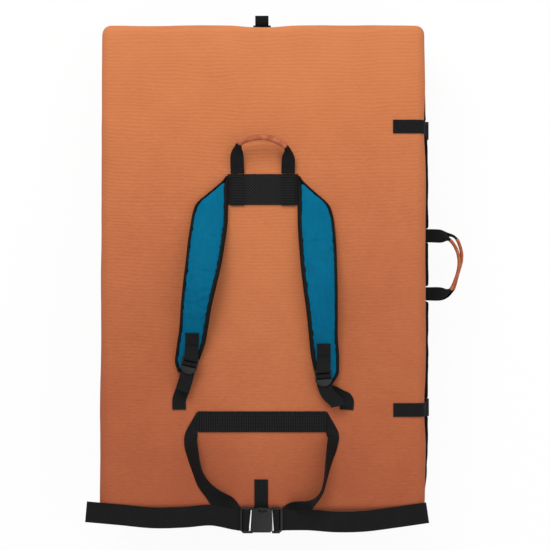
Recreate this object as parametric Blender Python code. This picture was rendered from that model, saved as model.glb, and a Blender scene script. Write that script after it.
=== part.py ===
# Bouldering crash pad, folded shut and lying on its back half with the carrying side up.
# +X runs from the fold to the opening side, +Y towards the yoke end, +Z up.
# The origin is the centre of the face that the pad rests on.
import math

import bmesh
import bpy
from mathutils import Matrix, Vector

# Pad halves: plan size when shut, one half's thickness, rounding, crown of the carrying face
PAD_WIDTH = 0.594
PAD_LENGTH = 0.890
HALF_THICKNESS = 0.089
EDGE_RADIUS = 0.016
CORNER_RADIUS = 0.016
CROWN = 0.006
GROUND_CROWN = 0.0010
GROUND_CUT = 0.0005
SIDE_DRAW = 0.0020
COVER_WALL = 0.0015
LANDING_WALL = 0.0015
FIRM_FOAM = 0.020
LANDING_GAP = 0.0006
CLEARANCE = 0.0003

# Seam binding round three sides, and the tape along the fold
BINDING_TALL = 0.012
BINDING_THICK = 0.0032
HINGE_TAPE_TALL = 0.040
HINGE_TAPE_THICK = 0.0010
HINGE_CLEARANCE = 0.0003

# Webbing
WEBBING_WIDTH = 0.025
WEBBING_THICK = 0.0016
BELT_WIDTH = 0.038
BELT_THICK = 0.0018

# Closure straps and their side-release buckles
RIGHT_CLOSURE_SPACING = 0.519
END_CLOSURE_OFFSET = -0.003
STRAP_ON_FACE = 0.0585
ANCHOR_REACH = 0.060
SEWN_BACK = 0.0135
TAIL_REACH = 0.021
BUCKLE_WIDTH = 0.033
BUCKLE_THICK = 0.0090
BUCKLE_BAR = 0.0030
BUCKLE_SLOT = 0.0040
BUCKLE_CHAMFER = 0.0030
SOCKET_LENGTH = 0.028
SOCKET_WALL = 0.0018
SOCKET_CAVITY = 0.019
PLUG_LENGTH = 0.0155
PLUG_GAP = 0.0005
PRONG_LENGTH = 0.0175
PRONG_THICK = 0.0042
PRONG_WIDTH = 0.0040
PRONG_CLEARANCE = 0.0009
BUCKLE_WINDOW = 0.008

# Yoke patch and haul loop
YOKE_WIDTH = 0.126
YOKE_HEIGHT = 0.0565
YOKE_FROM_TOP = 0.273
YOKE_THICK = 0.0020
HAUL_SPACING = 0.0925
HAUL_REACH = 0.074
HAUL_TILT = math.radians(25)
HAUL_END_GAP = 0.00085
HINGE_END_START = 0.00034
HINGE_END_THICK = 0.0008
GRIP_RADIUS = 0.0056
GRIP_BORE = 0.0042
FOLDED_WIDTH = 0.0054
FOLDED_THICK = 0.0034

# Shoulder straps
STRAP_WIDTH = 0.068
STRAP_THICK = 0.013
STRAP_EDGE = 0.007
STRAP_BASE = 0.0014
STRAP_FACE = 0.0016
STRAP_PUFF = 0.0015
LEFT_STRAP_TO_SEAM = 0.069
RIGHT_STRAP_TO_SEAM = 0.045
LEFT_STRAP_LEAN = 0.047
RIGHT_STRAP_LEAN = 0.0277
LEFT_STRAP_ARCH = 0.036
RIGHT_STRAP_ARCH = 0.022
STRAP_TOP_SETBACK = 0.004
STRAP_STATION_SHARES = (0, 0.025, 0.08, 0.135, 0.19, 0.24, 0.33, 0.44, 0.55, 0.66, 0.775, 0.85, 0.90, 0.95, 1)
STRAP_WIDTH_SHARES = (0.06, 0.16, 0.50, 0.84, 0.95, 0.99, 1, 0.97, 0.91, 0.83, 0.77, 0.76, 0.71, 0.62, 0.29)
STRAP_LEAN_SHARES = (0, 0, 0, 0, 0.01, 0.02, 0.10, 0.22, 0.40, 0.60, 0.76, 0.87, 1, 1.17, 1.53)
POCKET_SHARES = (0.045, 0.975)
ARCH_START_SHARE = 0.155

# Ladder locks and adjusters
LOCK_SHARE = 0.928
TAB_SHARE = 0.80
LOCK_SHIFT = 0.0065
LEFT_TAB_SHIFT = -0.0008
RIGHT_TAB_SHIFT = 0.0065
LOCK_WIDTH = 0.0306
LOCK_THICK = 0.0030
LOCK_BAR = 0.0030
LOCK_TAB_SLOT = 0.0070
LOCK_TAIL_SLOT = 0.0042
LOCK_LIP = 0.0130
LOCK_LIP_WIDTH = 0.016
TAB_LOOP_CLEARANCE = 0.0008
ADJUSTER_OUT = 0.153
ADJUSTER_FROM_BOTTOM = 0.186
ADJUSTER_SEWN = 0.018
TAIL_SHARES = (0.35, 0.7, 1)
LEFT_TAIL_LENGTH = 0.034
RIGHT_TAIL_LENGTH = 0.046
LEFT_TAIL_SWING = -0.0020
RIGHT_TAIL_SWING = 0.0150

# Waist belt and its buckle
BAND_WIDTH = 0.2336
BAND_CENTRE_X = -0.0013
BAND_FROM_BOTTOM = 0.164
BUCKLE_CENTRE_X = -0.0028
BUCKLE_BEYOND_EDGE = 0.015
WAIST_BODY_LENGTH = 0.0375
WAIST_BODY_WIDTH = 0.044
WAIST_BODY_THICK = 0.012
WAIST_WALL = 0.0024
WAIST_LENGTH = 0.078
WAIST_WIDTH = 0.048
WAIST_CHAMFER = 0.006
LADDER_THICK = 0.0040
LADDER_BAR = 0.0040
LADDER_SLOT = 0.0042
WAIST_PRONG_INSET = 0.0060
WAIST_PRONG_THICK = 0.0050
WAIST_PRONG_PROUD = 0.0006
WAIST_PRONG_ROOT = 0.0040
WAIST_MOUTH_GAP = 0.0006
WAIST_TONGUE = 0.008

# Side handles
HANDLE_SPACING = 0.108
HANDLE_END_GAP = 0.00055
HANDLE_CENTRE_Y = 0.0077
CARRY_HANDLE_REACH = 0.064
BACK_HANDLE_REACH = 0.070
HANDLE_RISE = 0.0030
HANDLE_GRIP_RISE = 0.0075

# Counts and one overrun that serves all cuts
SHORT_STEPS = 5
LONG_STEPS = 7
CORNER_STEPS = 3
EDGE_STEPS = 3
FACE_RING_SHARES = (0.76, 0.52, 0.27)
GRIP_SIDES = 8
OVERRUN = 0.002

MID_Z = HALF_THICKNESS + LANDING_GAP / 2
WALL_TOP = HALF_THICKNESS - EDGE_RADIUS
UP = Vector((0, 0, 1))
EAST = Vector((1, 0, 0))
NORTH = Vector((0, 1, 0))


# Scene and materials
def clear_scene():
    for item in list(bpy.data.objects):
        bpy.data.objects.remove(item, do_unlink=True)


def material(name, colour, roughness):
    look = bpy.data.materials.new(name)
    look.use_nodes = True
    shader = look.node_tree.nodes["Principled BSDF"]
    shader.inputs["Base Color"].default_value = (*colour, 1)
    shader.inputs["Roughness"].default_value = roughness
    shader.inputs["Metallic"].default_value = 0
    return look


def add_object(name, mesh_data, look, parent=None):
    bmesh.ops.recalc_face_normals(mesh_data, faces=mesh_data.faces)
    mesh = bpy.data.meshes.new(name)
    mesh_data.to_mesh(mesh)
    mesh_data.free()
    mesh.materials.append(look)
    piece = bpy.data.objects.new(name, mesh)
    bpy.context.scene.collection.objects.link(piece)
    if parent:
        piece.parent = parent
        piece.matrix_parent_inverse = Matrix.Translation(-parent.location)
    return piece


def joint_axis(name, place, parent=None):
    axis = bpy.data.objects.new(name, None)
    axis.location = place
    bpy.context.scene.collection.objects.link(axis)
    if parent:
        axis.parent = parent
        axis.matrix_parent_inverse = Matrix.Translation(-parent.location)
        axis.location = place
    print(f"axis {name}: {place.x:.5f} {place.y:.5f} {place.z:.5f}")
    return axis


# Solids from rings of points, from webbing stations and from flat outlines
def ring_solid(name, look, loops, parent=None, crowned=False, open_low=False):
    """Skin a stack of loops of equal count; the ends are closed by a flat face or a raised fan."""
    data = bmesh.new()
    rings = [[data.verts.new(point) for point in loop] for loop in loops]
    skin_rings(data, rings)
    if not open_low:
        data.faces.new(rings[0])
    close_ring(data, rings[-1], crowned)
    return add_object(name, data, look, parent)


def skin_rings(data, rings):
    for low, high in zip(rings, rings[1:]):
        count = len(low)
        for i in range(count):
            j = (i + 1) % count
            data.faces.new((low[i], low[j], high[j], high[i]))


def close_ring(data, ring, crowned):
    if not crowned:
        data.faces.new(ring)
        return
    centre = data.verts.new(crowned)
    for i, vert in enumerate(ring):
        data.faces.new((vert, ring[(i + 1) % len(ring)], centre))


def ribbon(name, look, stations, thicks, parent=None):
    """Flat webbing: stations are (centre, across, width); thicks is one value or one for each station."""
    if not isinstance(thicks, (list, tuple)):
        thicks = [thicks] * len(stations)
    centres = [station[0] for station in stations]
    data = bmesh.new()
    rings = []
    for i, (centre, across, width) in enumerate(stations):
        before = (centre - centres[i - 1]).normalized() if i else None
        after = (centres[i + 1] - centre).normalized() if i + 1 < len(centres) else None
        along = ((before or after) + (after or before)).normalized()
        mitre = 1 if before is None or after is None else 1 / max(along.dot(after), 0.5)
        across = across.normalized()
        normal = across.cross(along).normalized() * (thicks[i] / 2 * mitre)
        half = across * (width / 2)
        corners = (centre - half - normal, centre + half - normal, centre + half + normal, centre - half + normal)
        rings.append([data.verts.new(corner) for corner in corners])
    skin_rings(data, rings)
    data.faces.new(rings[0])
    data.faces.new(rings[-1])
    bmesh.ops.triangulate(data, faces=data.faces)
    return add_object(name, data, look, parent)


def sleeve(name, look, centres, acrosses, outer, bore, parent=None):
    """A tube with a through bore along a path."""
    data = bmesh.new()
    shells = []
    for radius in (outer, bore):
        rings = []
        for i, centre in enumerate(centres):
            along = (centres[min(i + 1, len(centres) - 1)] - centres[max(i - 1, 0)]).normalized()
            side = acrosses[i].normalized()
            lift = side.cross(along).normalized()
            turns = [2 * math.pi * k / GRIP_SIDES for k in range(GRIP_SIDES)]
            ring = [centre + (side * math.cos(turn) + lift * math.sin(turn)) * radius for turn in turns]
            rings.append([data.verts.new(point) for point in ring])
        skin_rings(data, rings)
        shells.append(rings)
    for end in (0, -1):
        skin_rings(data, [shells[0][end], shells[1][end]])
    return add_object(name, data, look, parent)


def plate(name, look, outline, holes, low, high, frame, parent=None):
    """Extrude a flat outline with holes; outline points are (along, across) in the frame."""
    data = bmesh.new()
    for loop in [outline] + holes:
        verts = [data.verts.new((along, across, low)) for along, across in loop]
        for i, vert in enumerate(verts):
            data.edges.new((vert, verts[(i + 1) % len(verts)]))
    bmesh.ops.triangle_fill(data, use_beauty=True, edges=list(data.edges))
    grown = bmesh.ops.extrude_face_region(data, geom=list(data.faces))
    raised = [item for item in grown["geom"] if isinstance(item, bmesh.types.BMVert)]
    bmesh.ops.translate(data, verts=raised, vec=(0, 0, high - low))
    bmesh.ops.dissolve_limit(data, angle_limit=math.radians(1), verts=list(data.verts), edges=list(data.edges))
    bmesh.ops.transform(data, matrix=frame, verts=list(data.verts))
    return add_object(name, data, look, parent)


def rectangle(start, end, half):
    return [(start, -half), (end, -half), (end, half), (start, half)]


def chamfered(start, end, half, start_cut, end_cut):
    return [
        (start, -half + start_cut), (start + start_cut, -half), (end - end_cut, -half), (end, -half + end_cut),
        (end, half - end_cut), (end - end_cut, half), (start + start_cut, half), (start, half - start_cut),
    ]


def combine(target, tool, operation):
    tool.hide_render = True
    tool.display_type = "WIRE"
    change = target.modifiers.new(tool.name, "BOOLEAN")
    change.operation = operation
    change.solver = "EXACT"
    change.object = tool


def axes_frame(origin, along, normal):
    across = normal.cross(along)
    frame = Matrix((along, across, normal)).transposed().to_4x4()
    frame.translation = origin
    return frame


def in_frame(frame, along, normal, across=0):
    return frame @ Vector((along, across, normal))


# The pad's own surfaces, in heights above the landing face of a half
class Half:
    def __init__(self, sign, crown, cut):
        self.sign = sign
        self.crown = crown
        self.cut = cut

    def level(self, height):
        return MID_Z + self.sign * (LANDING_GAP / 2 + height)

    def crowned(self, x, y):
        share = max(0, 1 - (2 * x / PAD_WIDTH) ** 2) * max(0, 1 - (2 * y / PAD_LENGTH) ** 2)
        return min(self.crown * share - (self.crown - self.cut if self.cut else 0), 0 if self.cut else self.crown)

    def outline(self, inset, height, three_sides=False):
        """Rounded rectangle, anticlockwise from the fold end of the bottom side; walls draw in between corners."""
        radius = max(CORNER_RADIUS - inset, COVER_WALL)
        run_x = PAD_WIDTH / 2 - inset - radius
        run_y = PAD_LENGTH / 2 - inset - radius
        corners = [Vector((x * run_x, y * run_y, 0)) for x, y in ((-1, -1), (1, -1), (1, 1), (-1, 1))]
        draw = wall_draw(height)
        sides = ((-NORTH, SHORT_STEPS, draw), (EAST, LONG_STEPS, draw), (NORTH, SHORT_STEPS, draw), (-EAST, LONG_STEPS, 0))
        points = []
        for i, (outward, steps, pull) in enumerate(sides):
            ahead = corners[(i + 1) % 4]
            for k in range(steps + 1):
                bow = 4 * k * (steps - k) / steps ** 2
                points.append(corners[i].lerp(ahead, k / steps) + outward * (radius - pull * bow))
            if three_sides and i == 2:
                break
            for k in range(1, CORNER_STEPS):
                turn = Matrix.Rotation(math.radians(90 * k / CORNER_STEPS), 3, "Z")
                points.append(ahead + turn @ outward * radius)
        return points

    def ring(self, inset, height, crown_share=0):
        return [self.place(point, height, crown_share) for point in self.outline(inset, height)]

    def place(self, point, height, crown_share=1):
        return Vector((point.x, point.y, self.level(height + crown_share * self.crowned(point.x, point.y))))

    def skin(self, depth, low):
        """Loops over wall, rounded edge and crowned face, lying depth under the outer surface."""
        loops = [self.ring(depth, low), self.ring(depth, WALL_TOP / 2), self.ring(depth, WALL_TOP)]
        radius = EDGE_RADIUS - depth
        for k in range(1, EDGE_STEPS + 1):
            turn = math.radians(90 * k / EDGE_STEPS)
            inset = EDGE_RADIUS - radius * math.cos(turn)
            loops.append(self.ring(inset, WALL_TOP + radius * math.sin(turn), math.sin(turn)))
        rim = self.outline(EDGE_RADIUS, HALF_THICKNESS)
        for share in FACE_RING_SHARES:
            loops.append([self.place(point * share, HALF_THICKNESS - depth) for point in rim])
        return loops

    def peak(self, depth):
        return self.place(Vector((0, 0, 0)), HALF_THICKNESS - depth)


def wall_draw(height):
    share = height / WALL_TOP
    return SIDE_DRAW * max(0, 1 - abs(2 * share - 1))


CARRY = Half(1, CROWN, 0)
BACK = Half(-1, GROUND_CROWN, GROUND_CUT)


def on_face(x, y, lift=0):
    return Vector((x, y, CARRY.level(HALF_THICKNESS + CARRY.crowned(x, y)) + lift))


def face_station(x, y, across_x, across_y, width, lift):
    """A webbing station lying on the carrying face."""
    half = Vector((across_x, across_y, 0)).normalized() * (width / 2)
    left = on_face(x - half.x, y - half.y, lift)
    right = on_face(x + half.x, y + half.y, lift)
    return ((left + right) / 2, right - left, (right - left).length)


# Pad half: cover, two foams, landing panel, seam binding, fold tape
def make_half(prefix, half, looks, parent):
    make_cover(f"{prefix}_cover", half, looks["orange"], parent)
    depth = COVER_WALL + CLEARANCE
    firm_low = LANDING_WALL + CLEARANCE
    firm_high = firm_low + FIRM_FOAM
    loops = [half.ring(depth, firm_low), half.ring(depth, firm_high)]
    ring_solid(f"{prefix}_firm_foam", looks["firm_foam"], loops, parent)
    loops = half.skin(depth, firm_high + CLEARANCE)
    ring_solid(f"{prefix}_soft_foam", looks["soft_foam"], loops, parent, crowned=half.peak(depth))
    loops = [half.ring(0, 0), half.ring(0, LANDING_WALL)]
    ring_solid(f"{prefix}_landing_panel", looks["black_fabric"], loops, parent)
    make_binding(f"{prefix}_seam_binding", half, looks["webbing"], parent)
    tape_x = -PAD_WIDTH / 2 - CLEARANCE - HINGE_TAPE_THICK / 2
    tape_y = PAD_LENGTH / 2 - CORNER_RADIUS
    tape_z = half.level((HINGE_TAPE_TALL + CLEARANCE) / 2)
    ends = [Vector((tape_x, y, tape_z)) for y in (-tape_y, tape_y)]
    stations = [(end, UP, HINGE_TAPE_TALL - CLEARANCE) for end in ends]
    ribbon(f"{prefix}_fold_tape", looks["orange"], stations, HINGE_TAPE_THICK, parent)


def make_cover(name, half, look, parent):
    """A tray of fabric, open on the landing side."""
    low = LANDING_WALL + CLEARANCE
    data = bmesh.new()
    rims = []
    for depth in (0, COVER_WALL):
        rings = [[data.verts.new(point) for point in loop] for loop in half.skin(depth, low)]
        skin_rings(data, rings)
        close_ring(data, rings[-1], half.peak(depth))
        rims.append(rings[0])
    skin_rings(data, rims)
    add_object(name, data, look, parent)


def make_binding(name, half, look, parent):
    height = (BINDING_TALL + CLEARANCE) / 2
    points = half.outline(-CLEARANCE - BINDING_THICK / 2, 0, three_sides=True)
    stations = [(Vector((p.x, p.y, half.level(height))), UP, BINDING_TALL - CLEARANCE) for p in points]
    ribbon(name, look, stations, BINDING_THICK, parent)


# Closures: strap and plug on the carry half, anchor and socket on the back half
def buckle_out():
    return CLEARANCE + BINDING_THICK + CLEARANCE + BUCKLE_THICK / 2


def closure_webbing(name, look, half, base, out, draw_share, reach, on_carry_face, tail, parent):
    """Webbing that comes down the wall, turns round the buckle's bar and is sewn back or left as a tail."""
    lift = CLEARANCE + WEBBING_THICK / 2
    doubled = lift + WEBBING_THICK + 2 * CLEARANCE
    side = UP.cross(out)
    points = []
    if on_carry_face:
        for share in (0, 0.5, 1):
            inset = STRAP_ON_FACE + (EDGE_RADIUS - STRAP_ON_FACE) * share
            foot = base - out * inset
            points.append(on_face(foot.x, foot.y, lift))
        for k in range(EDGE_STEPS - 1, -1, -1):
            turn = math.radians(90 * k / EDGE_STEPS)
            foot = base - out * (EDGE_RADIUS * (1 - math.cos(turn)))
            height = WALL_TOP + (EDGE_RADIUS + lift) * math.sin(turn)
            place = base + out * ((EDGE_RADIUS + lift) * math.cos(turn) - EDGE_RADIUS)
            rise = half.crowned(foot.x, foot.y) * math.sin(turn)
            points.append(Vector((place.x, place.y, half.level(height + rise))))
    end = (PLUG_LENGTH if half.sign > 0 else SOCKET_LENGTH) - LANDING_GAP / 2
    turn_out = BUCKLE_BAR / 2 + CLEARANCE + WEBBING_THICK / 2
    low = end - BUCKLE_BAR - CLEARANCE - WEBBING_THICK / 2
    high = end + CLEARANCE + WEBBING_THICK
    front = buckle_out() + turn_out
    leave = high + SEWN_BACK
    drawn = draw_share * wall_draw(leave)
    profile = [] if on_carry_face else [(lift - draw_share * wall_draw(reach), reach)]
    profile += [(lift - drawn, leave), (buckle_out() - turn_out, high), (buckle_out() - turn_out, low)]
    profile += [(front, low), (front, high)]
    if tail:
        profile += [(front + TAIL_REACH * 0.3, high + WEBBING_THICK * 2), (front + TAIL_REACH, high + WEBBING_THICK * 3)]
    else:
        sewn = min(leave + SEWN_BACK, WALL_TOP)
        profile += [(doubled - drawn, leave + WEBBING_THICK), (doubled - draw_share * wall_draw(sewn), sewn)]
    points += [base + out * outward + UP * (half.level(height) - base.z) for outward, height in profile]
    ribbon(name, look, [(point, side, WEBBING_WIDTH) for point in points], WEBBING_THICK, parent)


def buckle_body(name, look, frame, start, end, parent=None):
    """A thick block with a thin bar beyond a webbing slot."""
    thin = BUCKLE_BAR / 2
    slot_end = end - BUCKLE_BAR
    slot_start = slot_end - BUCKLE_SLOT
    slot = rectangle(slot_start, slot_end, WEBBING_WIDTH / 2 + PRONG_CLEARANCE)
    bar = chamfered(start + BUCKLE_BAR / 2, end, BUCKLE_WIDTH / 2 - CLEARANCE, CLEARANCE, BUCKLE_CHAMFER)
    body = plate(name, look, bar, [slot], -thin, thin, frame, parent)
    thick = BUCKLE_THICK / 2
    block = chamfered(start, slot_start - CLEARANCE, BUCKLE_WIDTH / 2, CLEARANCE, BUCKLE_CHAMFER / 2)
    combine(body, plate(f"cutter_{name}_block", look, block, [], -thick, thick, frame), "UNION")
    return body


def make_socket(name, look, base, out):
    frame = axes_frame(Vector((base.x, base.y, MID_Z)) + out * buckle_out(), -UP, out)
    body = buckle_body(name, look, frame, 0, SOCKET_LENGTH)
    hollow = PRONG_THICK / 2 + PRONG_CLEARANCE
    cavity = rectangle(-OVERRUN, SOCKET_CAVITY, BUCKLE_WIDTH / 2 - SOCKET_WALL * 1.6)
    combine(body, plate(f"cutter_{name}_cavity", look, cavity, [], -hollow, hollow, frame), "DIFFERENCE")
    start = (SOCKET_CAVITY - BUCKLE_WINDOW) / 2
    window = rectangle(start, start + BUCKLE_WINDOW, BUCKLE_WIDTH / 2 + OVERRUN)
    high = PRONG_THICK / 2
    combine(body, plate(f"cutter_{name}_window", look, window, [], -high, high, frame), "DIFFERENCE")


def make_plug(name, look, base, out, parent):
    frame = axes_frame(Vector((base.x, base.y, MID_Z)) + out * buckle_out(), UP, out)
    body = buckle_body(name, look, frame, PLUG_GAP, PLUG_LENGTH, parent)
    outer = BUCKLE_WIDTH / 2 - SOCKET_WALL * 1.6 - PRONG_CLEARANCE
    inner = outer - PRONG_WIDTH
    tongue = PRONG_WIDTH / 2
    root = PLUG_GAP + BUCKLE_BAR
    side = [
        (root, outer), (-PRONG_LENGTH + tongue, outer), (-PRONG_LENGTH, outer - tongue / 2),
        (-PRONG_LENGTH, inner), (-PLUG_GAP, inner), (-PLUG_GAP, tongue), (-PRONG_LENGTH * 0.75, tongue),
        (-PRONG_LENGTH * 0.85, tongue / 2),
    ]
    fork = [(along, -across) for along, across in side] + list(reversed(side))
    high = PRONG_THICK / 2
    combine(body, plate(f"cutter_{name}_fork", look, fork, [], -high, high, frame), "UNION")


def make_closures(looks, carry):
    right_x = PAD_WIDTH / 2
    top_y = PAD_LENGTH / 2
    half_spacing = RIGHT_CLOSURE_SPACING / 2
    places = (
        ("closure_right_upper", Vector((right_x, half_spacing, 0)), EAST, True, False),
        ("closure_right_lower", Vector((right_x, -half_spacing, 0)), EAST, True, False),
        ("closure_top", Vector((END_CLOSURE_OFFSET, top_y, 0)), NORTH, False, True),
        ("closure_bottom", Vector((END_CLOSURE_OFFSET, -top_y, 0)), -NORTH, True, False),
    )
    for name, base, out, over_face, tail in places:
        share = 2 * base.y / PAD_LENGTH if out == EAST else 2 * base.x / PAD_WIDTH
        draw = 1 - share * share
        web = looks["webbing"]
        closure_webbing(f"{name}_strap", web, CARRY, base, out, draw, ANCHOR_REACH, over_face, tail, carry)
        closure_webbing(f"{name}_anchor", web, BACK, base, out, draw, ANCHOR_REACH, False, False, None)
        make_plug(f"{name}_plug", looks["plastic"], base, out, carry)
        make_socket(f"{name}_socket", looks["plastic"], base, out)


# Yoke patch and haul loop
def yoke_top():
    return PAD_LENGTH / 2 - YOKE_FROM_TOP


def from_bottom(distance):
    return distance - PAD_LENGTH / 2


def make_yoke(looks, carry):
    lift = CLEARANCE + YOKE_THICK / 2
    middle_y = yoke_top() - YOKE_HEIGHT / 2
    xs = [YOKE_WIDTH * share for share in (-0.5, -0.25, 0, 0.25, 0.5)]
    stations = [face_station(x, middle_y, 0, 1, YOKE_HEIGHT, lift) for x in xs]
    ribbon("yoke_patch", looks["webbing"], stations, YOKE_THICK, carry)

    lift = CLEARANCE + YOKE_THICK + CLEARANCE + WEBBING_THICK / 2
    for side, sign in (("left", -1), ("right", 1)):
        x = sign * HAUL_SPACING / 2
        ys = (yoke_top() - YOKE_HEIGHT, yoke_top() - YOKE_HEIGHT / 2, yoke_top() - HAUL_END_GAP)
        stations = [face_station(x, y, 1, 0, WEBBING_WIDTH, lift) for y in ys]
        thicks = [WEBBING_THICK, WEBBING_THICK, HINGE_END_THICK]
        ribbon(f"haul_{side}_anchor", looks["webbing"], stations, thicks, carry)

    hinge = on_face(0, yoke_top(), lift)
    hinge.z = on_face(HAUL_SPACING / 2, yoke_top(), lift).z
    axis = joint_axis("haul_loop_axis", hinge, carry)
    away = Vector((0, math.cos(HAUL_TILT), math.sin(HAUL_TILT)))
    make_handle("haul_loop", looks, hinge, away, EAST, HAUL_SPACING, HAUL_REACH, HINGE_END_START, 0.84, axis)


def make_handle(name, looks, root, away, across, spacing, reach, start, shoulder, parent, rise=0, lift=None):
    """Two flat legs that fold in half and run on through a round grip sleeve."""
    half = spacing / 2
    path_shares = ((0, 1), (0.35, 1), (0.62, 0.98), (0.80, 0.90), (0.90, 0.72), (0.97, 0.38), (1, 0))
    width_shares = (1, 1, 0.85, 0.45, 0, 0, 0)
    centres, widths, thicks = [], [], []
    for (out_share, side_share), width_share in zip(path_shares, width_shares):
        out = start + (reach * shoulder - start) * out_share if out_share < 0.9 else 0
        bow = reach * (shoulder + (1 - shoulder) * (out_share - 0.8) / 0.2) if out_share >= 0.9 else out
        up = (lift or UP) * (rise * min(1, out_share / 0.8))
        centres.append(root + away * bow + across * (half * side_share) + up)
        widths.append(FOLDED_WIDTH + (WEBBING_WIDTH - FOLDED_WIDTH) * width_share)
        thicks.append(FOLDED_THICK + (WEBBING_THICK - FOLDED_THICK) * width_share)
    thicks[0] = HINGE_END_THICK
    mirrored = [c - across * (2 * (c - root).dot(across)) for c in reversed(centres[:-1])]
    path = centres + mirrored
    widths = widths + widths[-2::-1]
    thicks = thicks + thicks[-2::-1]
    normal = away.cross(across).normalized()
    sides = []
    for i in range(len(path)):
        run = (path[min(i + 1, len(path) - 1)] - path[max(i - 1, 0)]).normalized()
        if i in (0, len(path) - 1):
            run = away if i == 0 else -away
        sides.append(run.cross(normal).normalized())
    stations = [(c, s, w) for c, s, w in zip(path, sides, widths)]
    ribbon(f"{name}_webbing", looks["webbing"], stations, thicks, parent)
    grip = slice(4, len(path) - 4)
    sleeve(f"{name}_grip", looks["grip"], path[grip], sides[grip], GRIP_RADIUS, GRIP_BORE, parent)


def make_side_handles(looks, carry):
    root_x = PAD_WIDTH / 2 + CLEARANCE + BINDING_THICK + HANDLE_END_GAP
    for name, half, reach, parent in (
        ("carry_handle", CARRY, CARRY_HANDLE_REACH, carry),
        ("back_handle", BACK, BACK_HANDLE_REACH, None),
    ):
        root = Vector((root_x, HANDLE_CENTRE_Y, half.level(HANDLE_RISE)))
        axis = joint_axis(f"{name}_axis", root, parent)
        rise = HANDLE_GRIP_RISE - HANDLE_RISE
        lift = UP * half.sign
        spacing = HANDLE_SPACING
        make_handle(name, looks, root, EAST, NORTH, spacing, reach, HINGE_END_START, 0.84, axis, rise, lift)


# Shoulder straps
def share_at(table, share):
    for i in range(len(table) - 1):
        low, high = STRAP_STATION_SHARES[i], STRAP_STATION_SHARES[i + 1]
        if share <= high:
            return table[i] + (table[i + 1] - table[i]) * (share - low) / (high - low)
    return table[-1]


class Strap:
    def __init__(self, name, sign, to_seam, lean, arch):
        self.name, self.sign, self.lean, self.arch = name, sign, lean, arch
        self.length = yoke_top() - STRAP_TOP_SETBACK - from_bottom(ADJUSTER_FROM_BOTTOM) - to_seam

    def y(self, share):
        return yoke_top() - STRAP_TOP_SETBACK - self.length * share

    def width(self, share):
        return STRAP_WIDTH * share_at(STRAP_WIDTH_SHARES, share)

    def x(self, share, across=0):
        """Place across the strap: 0 at its centre line, 1 at the outer edge, -1 at the inner edge."""
        inner = YOKE_WIDTH / 2 + CLEARANCE + self.lean * share_at(STRAP_LEAN_SHARES, share)
        return self.sign * (inner + self.width(share) * (1 + across) / 2)

    def lift(self, share):
        arched = [max(0, (s - ARCH_START_SHARE) / (1 - ARCH_START_SHARE)) for s in STRAP_STATION_SHARES]
        return 2 * CLEARANCE + share_at([self.arch * math.sin(math.pi * a) ** 2 for a in arched], share)

    def point(self, share, x, height):
        middle = on_face(self.x(share), self.y(share), self.lift(share))
        return Vector((x, self.y(share), middle.z + height))

    def top(self, share, shift=0):
        return self.point(share, self.x(share) - self.sign * shift, STRAP_THICK + STRAP_PUFF)

    def across_at(self, share, across):
        """Tip a level direction to the slope of the strap's top."""
        near, far = self.top(share - 0.03), self.top(share + 0.03)
        return across + UP * (across.y * (far.z - near.z) / (far.y - near.y))

    def edges(self, inset, height, puff=0):
        """Rows of left, middle and right points, from the yoke end to the lock end."""
        rows = []
        shares = STRAP_STATION_SHARES
        if inset:
            low, high = POCKET_SHARES
            gap = 3 * (inset - STRAP_EDGE) / self.length
            low, high = low + gap, high - gap
            shares = (low, (low + shares[2]) / 2) + shares[2:-1] + (high,)
        for share in shares:
            inner = self.x(share, -1) + self.sign * inset
            outer = self.x(share, 1) - self.sign * inset
            middle = self.point(share, (inner + outer) / 2, height + puff)
            rows.append((self.point(share, inner, height), middle, self.point(share, outer, height)))
        return rows


def add_sheet(data, rows):
    grid = [[data.verts.new(point) for point in row] for row in rows]
    for near, far in zip(grid, grid[1:]):
        for i in range(len(near) - 1):
            data.faces.new((near[i], near[i + 1], far[i + 1], far[i]))
    rim = [row[0] for row in grid] + grid[-1][1:-1]
    rim += [row[-1] for row in reversed(grid)] + list(reversed(grid[0][1:-1]))
    return rim


def strap_slab(name, look, low_rows, high_rows, parent):
    data = bmesh.new()
    skin_rings(data, [add_sheet(data, low_rows), add_sheet(data, high_rows)])
    return add_object(name, data, look, parent)


def make_strap(strap, looks, carry):
    name = f"{strap.name}_strap"
    pocket = STRAP_EDGE + 2 * CLEARANCE
    data = bmesh.new()
    outer_low = add_sheet(data, strap.edges(0, 0))
    floor = add_sheet(data, strap.edges(STRAP_EDGE, STRAP_BASE))
    rim_rows = [strap.edges(inset, STRAP_THICK) for inset in (0, STRAP_EDGE)]
    rims = []
    for rows in rim_rows:
        loop = [row[0] for row in rows] + [rows[-1][1]] + [row[-1] for row in reversed(rows)] + [rows[0][1]]
        rims.append([data.verts.new(point) for point in loop])
    skin_rings(data, [outer_low, rims[0], rims[1], floor])
    add_object(f"{name}_shell", data, looks["webbing"], carry)

    low = STRAP_BASE + CLEARANCE
    high = STRAP_THICK - STRAP_FACE - CLEARANCE
    foam_rows = (strap.edges(pocket, low), strap.edges(pocket, high, STRAP_PUFF))
    strap_slab(f"{name}_foam", looks["firm_foam"], *foam_rows, carry)
    face_low = strap.edges(pocket, STRAP_THICK - STRAP_FACE, STRAP_PUFF)
    face_rows = (face_low, strap.edges(pocket, STRAP_THICK, STRAP_PUFF))
    strap_slab(f"{name}_face", looks["blue"], *face_rows, carry)
    make_lock(strap, looks, carry)


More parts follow.
